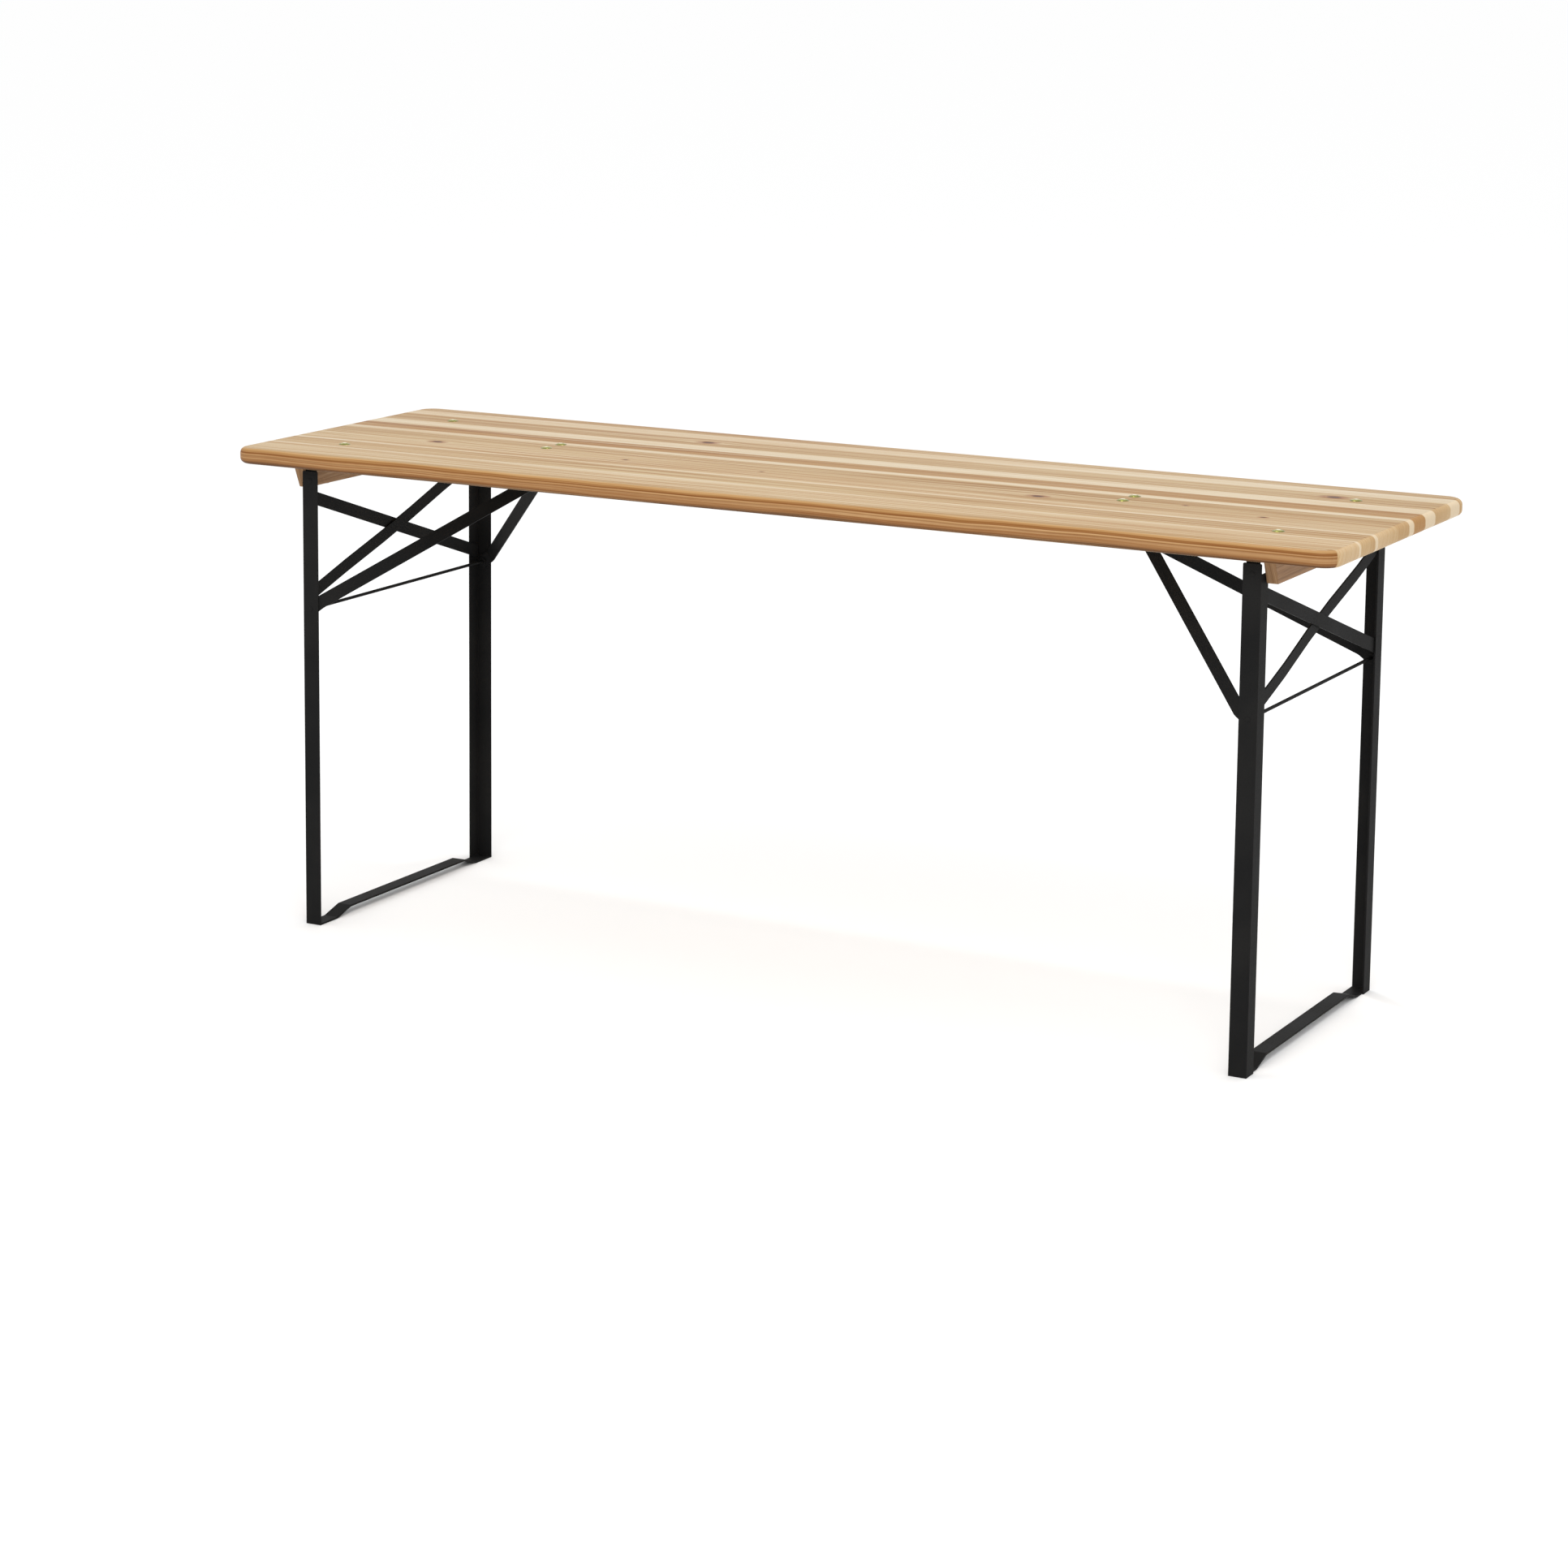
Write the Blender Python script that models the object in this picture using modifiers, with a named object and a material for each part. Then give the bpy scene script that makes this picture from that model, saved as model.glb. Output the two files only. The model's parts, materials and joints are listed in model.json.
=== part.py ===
"""Folding picnic table: a laminated pine top on two steel angle-leg frames that fold flat under it.

Metres, +Z up. +X runs along the table's length and +Y across it. The origin is on the floor under the
middle of the top. Each leg frame turns about a line across the table just under the top, and a V-shaped
strut, which turns on a rod through the frame's legs, hooks into a catch under the top.
"""

import math

import bmesh
import bpy
from mathutils import Matrix, Vector

# Driving dimensions of the table
TOP_LENGTH = 1.800
TOP_WIDTH = 0.550
TOP_HEIGHT = 0.750
TOP_THICKNESS = 0.025
TOP_CORNER_RADIUS = 0.030
TOP_EDGE_RADIUS = 0.009

FRAME_HALF_SPAN = 0.786  # from the middle of the table to a leg's outer face, along X
FRAME_HALF_WIDTH = 0.250  # from the middle of the table to a leg's outer face, along Y
ANGLE_WIDTH = 0.027
ANGLE_WALL = 0.0025
LEG_TOP_GAP = 0.0055  # between a leg's upper end and the underside of the top
FOLD_PIVOT_DROP = 0.0145  # from a leg's upper end to the line it turns about
LEG_CORNER_RADIUS = 0.002
STRUT_PIVOT_DROP = 0.201  # from the fold line down to the strut's rod
FOLD_ANGLE = math.radians(90.0)

STRUT_APEX_X = 0.494  # the strut's cross pin, from the middle of the table
STRUT_APEX_DROP = 0.016  # from the underside of the top to the cross pin
GAP = 0.0003  # between faces that touch

# Flat bar
STRIP_WIDTH = 0.020
BRACE_WALL = 0.0025
ARM_WALL = 0.003
FOOT_WALL = 0.003

# Levels and lines that the dimensions above fix
UNDERSIDE = TOP_HEIGHT - TOP_THICKNESS
LEG_TOP = UNDERSIDE - LEG_TOP_GAP
FOLD_Z = LEG_TOP - FOLD_PIVOT_DROP
PIVOT_X = FRAME_HALF_SPAN - ANGLE_WIDTH / 2
STRUT_Z = FOLD_Z - STRUT_PIVOT_DROP
APEX_Z = UNDERSIDE - STRUT_APEX_DROP
FLANGE_INSIDE_X = FRAME_HALF_SPAN - ANGLE_WALL
FLANGE_INSIDE_Y = FRAME_HALF_WIDTH - ANGLE_WALL

# Holes and the pins in them
RIVET_RADIUS = 0.0025
ROD_RADIUS = 0.0025
APEX_PIN_RADIUS = 0.004
BOLT_RADIUS = 0.003
SCREW_RADIUS = 0.002
ROUND_SIDES = 16
SCREW_SIDES = 12
FOLD_RIVET_HEAD = (0.004, 0.0012)  # radius and height
ROD_HEAD = (0.0037, 0.0012)
APEX_PIN_HEAD = (0.006, 0.0018)
SCREW_HEAD = (0.004, 0.0022)
SCREW_POINT = 0.004
WASHER_RADIUS = 0.0068
WASHER_WALL = 0.0015
TRIM = 0.002  # how far raw bar reaches past the outline it is cut to
DRILL_PAST = 0.010  # how far a drill starts outside the piece

# Bolts through the top
HINGE_BOLT_Y = 0.155
CATCH_BOLT_X = 0.485
CATCH_BOLT_Y = 0.0217
BOLT_HEAD_RADIUS = 0.009
BOLT_HEAD_HEIGHT = 0.0027
BOLT_SEAT_DEPTH = 0.0005  # how far the pressed-in heads' seats go into the top
BOLT_CHAMFER = 0.0006
NUT_ACROSS_FLATS = 0.010
NUT_HEIGHT = 0.005
THREAD_PAST_NUT = 0.003

# Hinge bar: a flat bar across the table, its ends bent down beside the legs
BAR_WIDTH = 0.020
BAR_WALL = 0.0025
BAR_BEND_RADIUS = 0.004
BAR_TOP = UNDERSIDE - GAP

# Wooden battens outboard of the legs
BATTEN_WIDTH = 0.0175
BATTEN_DROP = 0.034
BATTEN_HALF_LENGTH = 0.247
BATTEN_END_SLANT = 0.0145
BATTEN_CLEARANCE = 0.0008
BATTEN_EASE = 0.001
SCREW_Y = 0.170
SCREW_DEPTH = 0.012

# Foot strip: flat at both feet, raised between them
FOOT_FLAT = 0.043
FOOT_RAMP = 0.038
FOOT_RISE = 0.011
FOOT_BEND_RADIUS = 0.012

# Crossed braces, from just under the fold line to just over the strut's rod
BRACE_HIGH_DROP = 0.027
BRACE_LOW_RISE = 0.019
BRACE_MEETS_Y = FRAME_HALF_WIDTH - ANGLE_WIDTH / 2
BRACE_END_Y = 0.243
BRACE_STEP_Y = 0.140  # where the stepped brace starts to lean inward, from the middle of the table
BRACE_STEP_RUN = 0.100
BRACE_BEND_RADIUS = 0  # the bends are too slight for an arc
BRACE_RAW_WIDTH = 0.300

# Strut arms, in the strut's own plane
ARM_END_RADIUS = STRIP_WIDTH / 2
ARM_FLAT_AT_LEG = 0.018
ARM_FLAT_AT_APEX = 0.023
ARM_BEND_RADIUS = 0.010

# Catch under the top
CATCH_WALL = 0.0025
CATCH_HALF_WIDTH = 0.033
CATCH_CORNER = 0.006
CATCH_LOW_X, CATCH_HIGH_X = 0.468, 0.508
CHEEK_LOW_X = STRUT_APEX_X - 0.0105
CHEEK_HIGH_X = STRUT_APEX_X + 0.0090
CHEEK_INSIDE_Y = 0.0085
CHEEK_DROP = 0.028
CHEEK_CORNER = 0.005
MOUTH_SLOPE = math.radians(21.5)
SPRING_WALL = 0.001
SPRING_WIDTH = 0.012
SPRING_BEND_RADIUS = 0.0015
SPRING_ROUTE = ((0.0135, 0), (0.0090, 0.0105), (0.0145, 0.0175))  # in from the apex, and below it
SPRING_TAB = 0.010

SIDES = {"left": -1, "right": 1}
ENDS = {"front": -1, "back": 1}

X_AXIS, Y_AXIS, Z_AXIS = Vector((1, 0, 0)), Vector((0, 1, 0)), Vector((0, 0, 1))


def clear_scene():
    for obj in list(bpy.data.objects):
        bpy.data.objects.remove(obj, do_unlink=True)


def new_collection(name):
    collection = bpy.data.collections.new(name)
    bpy.context.scene.collection.children.link(collection)
    return collection


def new_material(name, colour, roughness, metallic):
    material = bpy.data.materials.new(name)
    material.use_nodes = True
    shader = material.node_tree.nodes["Principled BSDF"]
    shader.inputs["Base Color"].default_value = (*colour, 1.0)
    shader.inputs["Roughness"].default_value = roughness
    shader.inputs["Metallic"].default_value = metallic
    return material


clear_scene()
PARTS = new_collection("folding_picnic_table")
CUTTERS = new_collection("cutters")
PINE = new_material("pine", (0.78, 0.58, 0.36), 0.38, 0.0)
BATTEN_PINE = new_material("batten_pine", (0.66, 0.50, 0.36), 0.55, 0.0)
BLACK_STEEL = new_material("black_steel", (0.018, 0.018, 0.019), 0.45, 0.0)
BRASS_PLATED = new_material("brass_plated", (0.62, 0.55, 0.24), 0.32, 1.0)
SPRING_STEEL = new_material("spring_steel", (0.30, 0.31, 0.33), 0.35, 1.0)


# --- outlines -------------------------------------------------------------------------------------


def rounded(corners):
    """The outline through (x, y, radius) corners, each turned with an arc of that radius."""
    points = []
    for index, (x, y, radius) in enumerate(corners):
        here = Vector((x, y))
        before = (Vector(corners[index - 1][:2]) - here).normalized()
        after = (Vector(corners[(index + 1) % len(corners)][:2]) - here).normalized()
        points.extend(corner_arc(here, before, after, radius))
    return points


def corner_arc(here, before, after, radius, steps=5):
    """Points along the arc of this radius that turns the corner between two unit directions."""
    if radius == 0:
        return [here]
    half = before.angle(after) / 2
    reach = radius / math.tan(half)
    centre = here + (before + after).normalized() * (radius / math.sin(half))
    start = here + before * reach - centre
    end = here + after * reach - centre
    sweep = start.angle_signed(end)
    return [centre + Matrix.Rotation(-sweep * k / steps, 2) @ start for k in range(steps + 1)]


def circle(x, y, radius, sides=ROUND_SIDES):
    angles = [2 * math.pi * k / sides for k in range(sides)]
    return [Vector((x + radius * math.cos(a), y + radius * math.sin(a))) for a in angles]


def bent(route, radius):
    """An open route of 2D points with each inner corner turned by an arc."""
    points = [Vector(route[0])]
    for before, here, after in zip(route, route[1:], route[2:]):
        here = Vector(here)
        to_before = (Vector(before) - here).normalized()
        to_after = (Vector(after) - here).normalized()
        points.extend(corner_arc(here, to_before, to_after, radius, steps=4))
    return points + [Vector(route[-1])]


# --- shapes ---------------------------------------------------------------------------------------


def frame_of(origin, u, v):
    """The matrix that puts a drawing's x along u and its y along v, at origin."""
    u, v = Vector(u).normalized(), Vector(v).normalized()
    matrix = Matrix((u, v, u.cross(v))).transposed().to_4x4()
    matrix.translation = Vector(origin)
    return matrix


def add_object(name, mesh, material, placement):
    obj = bpy.data.objects.new(name, mesh)
    PARTS.objects.link(obj)
    obj.matrix_world = placement
    mesh.materials.append(material)
    return obj


def plate(name, outlines, thickness, placement, material=BLACK_STEEL):
    """A flat piece cut to its outlines, the inner ones being holes, and centred on its drawing's plane."""
    curve = bpy.data.curves.new(name, "CURVE")
    curve.dimensions = "2D"
    curve.fill_mode = "BOTH"
    curve.extrude = thickness / 2
    for outline in outlines:
        spline = curve.splines.new("POLY")
        spline.points.add(len(outline) - 1)
        for point, (x, y) in zip(spline.points, outline):
            point.co = (x, y, 0, 1)
        spline.use_cyclic_u = True
    drawn = bpy.data.objects.new(name + "_drawing", curve)
    PARTS.objects.link(drawn)
    graph = bpy.context.evaluated_depsgraph_get()
    mesh = bpy.data.meshes.new_from_object(drawn.evaluated_get(graph))
    bpy.data.objects.remove(drawn)
    weld(mesh)
    return add_object(name, mesh, material, placement)


def weld(mesh):
    work = bmesh.new()
    work.from_mesh(mesh)
    bmesh.ops.remove_doubles(work, verts=work.verts, dist=1e-6)
    bmesh.ops.recalc_face_normals(work, faces=work.faces)
    work.to_mesh(mesh)
    work.free()


def ribbon(name, route, radius, width, thickness, placement, material=BLACK_STEEL):
    """Flat bar bent along a 2D route: its width runs along the placement's third axis, centred on it."""
    work = bmesh.new()
    points = [work.verts.new((x, y, -width / 2)) for x, y in bent(route, radius)]
    edges = [work.edges.new(pair) for pair in zip(points, points[1:])]
    swept = bmesh.ops.extrude_edge_only(work, edges=edges)
    far_side = [item for item in swept["geom"] if isinstance(item, bmesh.types.BMVert)]
    bmesh.ops.translate(work, verts=far_side, vec=(0, 0, width))
    mesh = bpy.data.meshes.new(name)
    work.to_mesh(mesh)
    work.free()
    bar = add_object(name, mesh, material, placement)
    wall = bar.modifiers.new("wall", "SOLIDIFY")
    wall.thickness = thickness
    wall.offset = 0
    wall.use_even_offset = True
    return bar


def turned(name, profile, placement, material, steps=ROUND_SIDES):
    """A turned piece: (radius, height) points down its outer side, turned about the placement's z."""
    mesh = bpy.data.meshes.new(name)
    edges = [(k, k + 1) for k in range(len(profile) - 1)]
    mesh.from_pydata([(r, 0, z) for r, z in profile], edges, [])
    piece = add_object(name, mesh, material, placement)
    turn = piece.modifiers.new("turn", "SCREW")
    turn.steps = turn.render_steps = steps
    turn.use_merge_vertices = True
    turn.merge_threshold = 1e-5
    turn.use_smooth_shade = True
    return piece


def dome(radius, height, base, steps=3):
    """Profile points of a domed head, from its crown out and down to its rim at the base level."""
    ball = (radius**2 + height**2) / (2 * height)
    widest = math.asin(radius / ball)
    angles = [widest * k / steps for k in range(steps + 1)]
    return [(ball * math.sin(a), base + height - ball + ball * math.cos(a)) for a in angles]


def boolean(piece, operation, cutter):
    """Adds a Boolean and sets its other shape aside as a helper."""
    change = piece.modifiers.new(operation.lower(), "BOOLEAN")
    change.operation = operation
    change.object = cutter
    PARTS.objects.unlink(cutter)
    CUTTERS.objects.link(cutter)
    cutter.hide_render = True
    cutter.display_type = "WIRE"


def drill(piece, name, centres, radius, low, high):
    """Upright round holes through the piece between two heights."""
    holes = [circle(x, y, radius + GAP) for x, y in centres]
    middle = Matrix.Translation((0, 0, (low + high) / 2))
    boolean(piece, "DIFFERENCE", plate(name, holes, high - low, middle))


def pivot_empty(name, location, parent=None):
    empty = bpy.data.objects.new(name, None)
    PARTS.objects.link(empty)
    empty.empty_display_size = 0.05
    empty.location = location
    if parent:
        hang(empty, parent)
    bpy.context.view_layer.update()
    return empty


def hang(obj, parent):
    obj.parent = parent
    obj.matrix_parent_inverse = parent.matrix_world.inverted()


# --- fasteners ------------------------------------------------------------------------------------


def coach_bolt(name, x, y):
    """Domed head in its seat in the top's surface, and a shank down through the top."""
    base = TOP_HEIGHT - BOLT_SEAT_DEPTH + GAP
    tip = UNDERSIDE - BAR_WALL - NUT_HEIGHT - 3 * GAP - THREAD_PAST_NUT
    profile = dome(BOLT_HEAD_RADIUS, BOLT_HEAD_HEIGHT, base)
    profile += [(BOLT_RADIUS, base), (BOLT_RADIUS, tip + BOLT_CHAMFER),
                (BOLT_RADIUS - BOLT_CHAMFER, tip), (0, tip)]
    turned(name, profile, Matrix.Translation((x, y, 0)), BRASS_PLATED)


def nut(name, x, y):
    corner = NUT_ACROSS_FLATS / math.sqrt(3)
    outlines = [circle(0, 0, corner, sides=6), circle(0, 0, BOLT_RADIUS + GAP)]
    height = UNDERSIDE - BAR_WALL - 2 * GAP - NUT_HEIGHT / 2
    plate(name, outlines, NUT_HEIGHT, Matrix.Translation((x, y, height)), SPRING_STEEL)


def riveted_pin(name, radius, grip, head, placement):
    """A pin across the grip length with a domed head at both ends, along the placement's z."""
    half = grip / 2 + GAP
    upper = dome(*head, half)
    profile = upper + [(radius, half), (radius, -half)] + [(r, -z) for r, z in reversed(upper)]
    return turned(name, profile, placement, BLACK_STEEL)


def wood_screw(name, x, y):
    """Pan head under a batten, shank up through it into the top."""
    base = -(UNDERSIDE - GAP - BATTEN_DROP - GAP)
    tip = -(UNDERSIDE + SCREW_DEPTH - GAP)
    profile = dome(*SCREW_HEAD, base) + [(SCREW_RADIUS, base), (SCREW_RADIUS, tip + SCREW_POINT), (0, tip)]
    upside_down = Matrix.Translation((x, y, 0)) @ Matrix.Rotation(math.pi, 4, "X")
    turned(name, profile, upside_down, SPRING_STEEL, steps=SCREW_SIDES)


# --- the top and what is fixed to it --------------------------------------------------------------


def table_top():
    work = bmesh.new()
    size = Matrix.Diagonal((TOP_LENGTH, TOP_WIDTH, TOP_THICKNESS, 1))
    bmesh.ops.create_cube(work, size=1, matrix=size)
    upright = [e for e in work.edges if abs(e.verts[0].co.z - e.verts[1].co.z) > TOP_THICKNESS / 2]
    bmesh.ops.bevel(work, geom=upright, offset=TOP_CORNER_RADIUS, segments=6, profile=0.5, affect="EDGES")
    rims = [e for e in work.edges if abs(e.verts[0].co.z - e.verts[1].co.z) < 1e-6]
    rims = [e for e in rims if any(abs(f.normal.z) < 0.5 for f in e.link_faces)]
    bmesh.ops.bevel(work, geom=rims, offset=TOP_EDGE_RADIUS, segments=4, profile=0.5, affect="EDGES")
    mesh = bpy.data.meshes.new("table_top")
    work.to_mesh(mesh)
    work.free()
    middle = Matrix.Translation((0, 0, TOP_HEIGHT - TOP_THICKNESS / 2))
    top = add_object("table_top", mesh, PINE, middle)
    bolts = [(s * x, e * y) for s in (-1, 1) for e in (-1, 1)
             for x, y in ((PIVOT_X, HINGE_BOLT_Y), (CATCH_BOLT_X, CATCH_BOLT_Y))]
    above, below = TOP_HEIGHT + DRILL_PAST, UNDERSIDE - DRILL_PAST
    drill(top, "top_bolt_holes", bolts, BOLT_RADIUS, below, above)
    drill(top, "top_bolt_seats", bolts, BOLT_HEAD_RADIUS, TOP_HEIGHT - BOLT_SEAT_DEPTH, above)
    screws = [(s * batten_middle_x(), e * SCREW_Y) for s in (-1, 1) for e in (-1, 1)]
    drill(top, "top_screw_holes", screws, SCREW_RADIUS, below, UNDERSIDE + SCREW_DEPTH)


def batten_middle_x():
    return FRAME_HALF_SPAN + BATTEN_CLEARANCE + BATTEN_WIDTH / 2


def batten(side, sign):
    """A wooden rail across the underside, its ends slanted, which the opened legs lean against."""
    x, high = sign * batten_middle_x(), UNDERSIDE - GAP
    low, short = high - BATTEN_DROP, BATTEN_HALF_LENGTH - BATTEN_END_SLANT
    outline = [(-BATTEN_HALF_LENGTH, high), (-short, low), (short, low), (BATTEN_HALF_LENGTH, high)]
    rail = plate(side + "_batten", [outline], BATTEN_WIDTH, frame_of((x, 0, 0), Y_AXIS, Z_AXIS), BATTEN_PINE)
    edge = rail.modifiers.new("eased_edges", "BEVEL")
    edge.width = BATTEN_EASE
    edge.segments = 1
    edge.limit_method = "ANGLE"
    centres = [(x, -SCREW_Y), (x, SCREW_Y)]
    drill(rail, side + "_batten_screw_holes", centres, SCREW_RADIUS, low - DRILL_PAST, high + DRILL_PAST)
    for end, way in ENDS.items():
        wood_screw(f"{side}_{end}_batten_screw", x, way * SCREW_Y)


def hinge_bar(side, sign):
    """Flat bar bolted across the underside; each end is bent down beside a leg and carries its pivot."""
    x = sign * PIVOT_X
    reach = FLANGE_INSIDE_Y - GAP - BAR_WALL / 2
    level = BAR_TOP - BAR_WALL / 2
    tip = FOLD_Z - BAR_WIDTH / 2 - TRIM
    route = [(-reach, tip), (-reach, level), (reach, level), (reach, tip)]
    bar = ribbon(side + "_hinge_bar", route, BAR_BEND_RADIUS, BAR_WIDTH, BAR_WALL,
                 frame_of((x, 0, 0), Y_AXIS, Z_AXIS))
    round_end = BAR_WIDTH / 2
    arc = [(-round_end * math.cos(a), FOLD_Z - round_end * math.sin(a))
           for a in (math.pi * k / 12 for k in range(13))]
    outline = [(-round_end, UNDERSIDE)] + arc + [(round_end, UNDERSIDE)]
    shaper = plate(side + "_hinge_bar_outline", [outline, circle(0, FOLD_Z, RIVET_RADIUS + GAP)],
                   2 * FRAME_HALF_WIDTH, frame_of((x, 0, 0), X_AXIS, Z_AXIS))
    boolean(bar, "INTERSECT", shaper)
    bolts = [(x, -HINGE_BOLT_Y), (x, HINGE_BOLT_Y)]
    drill(bar, side + "_hinge_bar_bolt_holes", bolts, BOLT_RADIUS, BAR_TOP - DRILL_PAST, BAR_TOP + DRILL_PAST)
    grip = ANGLE_WALL + GAP + BAR_WALL
    for end, way in ENDS.items():
        coach_bolt(f"{side}_{end}_hinge_bolt", x, way * HINGE_BOLT_Y)
        nut(f"{side}_{end}_hinge_nut", x, way * HINGE_BOLT_Y)
        middle = (x, way * (FRAME_HALF_WIDTH - grip / 2), FOLD_Z)
        riveted_pin(f"{side}_{end}_fold_rivet", RIVET_RADIUS, grip, FOLD_RIVET_HEAD,
                    frame_of(middle, X_AXIS, Z_AXIS))


def catch(side, sign):
    """Bracket under the top whose two cheeks have a mouth for the strut's cross pin."""
    middle_x = (CATCH_LOW_X + CATCH_HIGH_X) / 2
    half_x = (CATCH_HIGH_X - CATCH_LOW_X) / 2
    half_y = CATCH_HALF_WIDTH
    base_outline = rounded([(-half_x, -half_y, CATCH_CORNER), (half_x, -half_y, CATCH_CORNER),
                            (half_x, half_y, CATCH_CORNER), (-half_x, half_y, CATCH_CORNER)])
    bolt_x = CATCH_BOLT_X - middle_x
    holes = [circle(sign * bolt_x, way * CATCH_BOLT_Y, BOLT_RADIUS + GAP) for way in ENDS.values()]
    level = UNDERSIDE - GAP - CATCH_WALL / 2
    base = plate(side + "_strut_catch", [base_outline] + holes, CATCH_WALL,
                 Matrix.Translation((sign * middle_x, 0, level)))
    for end, way in ENDS.items():
        y = way * (CHEEK_INSIDE_Y + CATCH_WALL / 2)
        cheek = plate(f"{side}_{end}_cheek", [cheek_outline()], CATCH_WALL,
                      frame_of((0, y, 0), sign * X_AXIS, Z_AXIS))
        boolean(base, "UNION", cheek)
        coach_bolt(f"{side}_{end}_catch_bolt", sign * CATCH_BOLT_X, way * CATCH_BOLT_Y)
        nut(f"{side}_{end}_catch_nut", sign * CATCH_BOLT_X, way * CATCH_BOLT_Y)
    catch_spring(side, sign)


def cheek_outline():
    """A cheek seen along Y: a mouth slopes down from the pin's seat to the edge nearer the middle."""
    high, low = UNDERSIDE - GAP - CATCH_WALL / 2, UNDERSIDE - CHEEK_DROP
    width = APEX_PIN_RADIUS + GAP
    out = Vector((-math.cos(MOUTH_SLOPE), -math.sin(MOUTH_SLOPE)))
    across = Vector((-out.y, out.x))
    seat = Vector((STRUT_APEX_X, APEX_Z))
    sides = [seat + across * width * way for way in (1, -1)]
    lower, upper = [p + out * ((p.x - CHEEK_LOW_X) / -out.x) for p in sides]
    start = math.atan2(across.y, across.x)
    seat_arc = [seat + width * Vector((math.cos(a), math.sin(a)))
                for a in (start + math.pi * k / 8 for k in range(9))]
    corners = rounded([(CHEEK_LOW_X, low, CHEEK_CORNER / 2), (CHEEK_HIGH_X, low, CHEEK_CORNER),
                       (CHEEK_HIGH_X, high, 0), (CHEEK_LOW_X, high, 0)])
    return corners + [upper] + list(reversed(seat_arc)) + [lower]


def catch_spring(side, sign):
    """Leaf that hangs from the bracket and closes the mouth behind the strut's rounded end."""
    level = UNDERSIDE - GAP - CATCH_WALL - GAP - SPRING_WALL / 2
    hanging = [(STRUT_APEX_X - inward, APEX_Z - below) for inward, below in SPRING_ROUTE]
    fold_x = hanging[0][0]
    route = [(fold_x - SPRING_TAB, level), (fold_x, level)] + hanging
    ribbon(side + "_catch_spring", route, SPRING_BEND_RADIUS, SPRING_WIDTH, SPRING_WALL,
           frame_of((0, 0, 0), sign * X_AXIS, Z_AXIS), SPRING_STEEL)


# --- leg frames -----------------------------------------------------------------------------------


def leg(side, sign, end, way, pivot):
    """Steel angle: one flange faces along the table's width and carries both pivots, the other faces its end."""
    inner, outer = FRAME_HALF_SPAN - ANGLE_WIDTH, FRAME_HALF_SPAN
    face_outline = rounded([(inner, 0, 0), (outer, 0, 0), (outer, LEG_TOP, LEG_CORNER_RADIUS),
                            (inner, LEG_TOP, LEG_CORNER_RADIUS)])
    holes = [circle(PIVOT_X, FOLD_Z, RIVET_RADIUS + GAP), circle(PIVOT_X, STRUT_Z, ROD_RADIUS + GAP)]
    face_y = way * (FRAME_HALF_WIDTH - ANGLE_WALL / 2)
    angle = plate(f"{side}_{end}_leg", [face_outline] + holes, ANGLE_WALL,
                  frame_of((0, face_y, 0), sign * X_AXIS, Z_AXIS))
    root, edge = FRAME_HALF_WIDTH, FRAME_HALF_WIDTH - ANGLE_WIDTH
    side_top = FOLD_Z - GAP
    side_outline = rounded([(edge, 0, 0), (root, 0, 0), (root, side_top, 0), (edge, side_top, 0.006)])
    flange_x = sign * (FRAME_HALF_SPAN - ANGLE_WALL / 2)
    flange = plate(f"{side}_{end}_leg_flange", [side_outline], ANGLE_WALL,
                   frame_of((flange_x, 0, 0), way * Y_AXIS, Z_AXIS))
    boolean(angle, "UNION", flange)
    hang(angle, pivot)


def foot_strip(side, sign, pivot):
    """Flat bar between the two legs of a frame: flat on the floor at both ends, raised between them."""
    low, high = FOOT_WALL / 2, FOOT_WALL / 2 + FOOT_RISE
    end_y = FLANGE_INSIDE_Y - GAP
    knee, crest = end_y - FOOT_FLAT, end_y - FOOT_FLAT - FOOT_RAMP
    route = [(-end_y, low), (-knee, low), (-crest, high), (crest, high), (knee, low), (end_y, low)]
    inner = FRAME_HALF_SPAN - ANGLE_WIDTH
    outer = FLANGE_INSIDE_X - GAP
    strip = ribbon(side + "_foot_strip", route, FOOT_BEND_RADIUS, outer - inner, FOOT_WALL,
                   frame_of((sign * (inner + outer) / 2, 0, 0), Y_AXIS, Z_AXIS))
    hang(strip, pivot)


def brace_outline(way):
    """A brace seen along X, from the high end at the front (way 1) or back (way -1) to the low end."""
    high, low = FOLD_Z - BRACE_HIGH_DROP, STRUT_Z + BRACE_LOW_RISE
    slope = (low - high) / (2 * BRACE_MEETS_Y)
    half = STRIP_WIDTH / 2 * math.sqrt(1 + slope**2)
    middle, reach = (high + low) / 2, slope * BRACE_END_Y
    return [(-way * BRACE_END_Y, middle - reach - half), (way * BRACE_END_Y, middle + reach - half),
            (way * BRACE_END_Y, middle + reach + half), (-way * BRACE_END_Y, middle - reach + half)]


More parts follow.
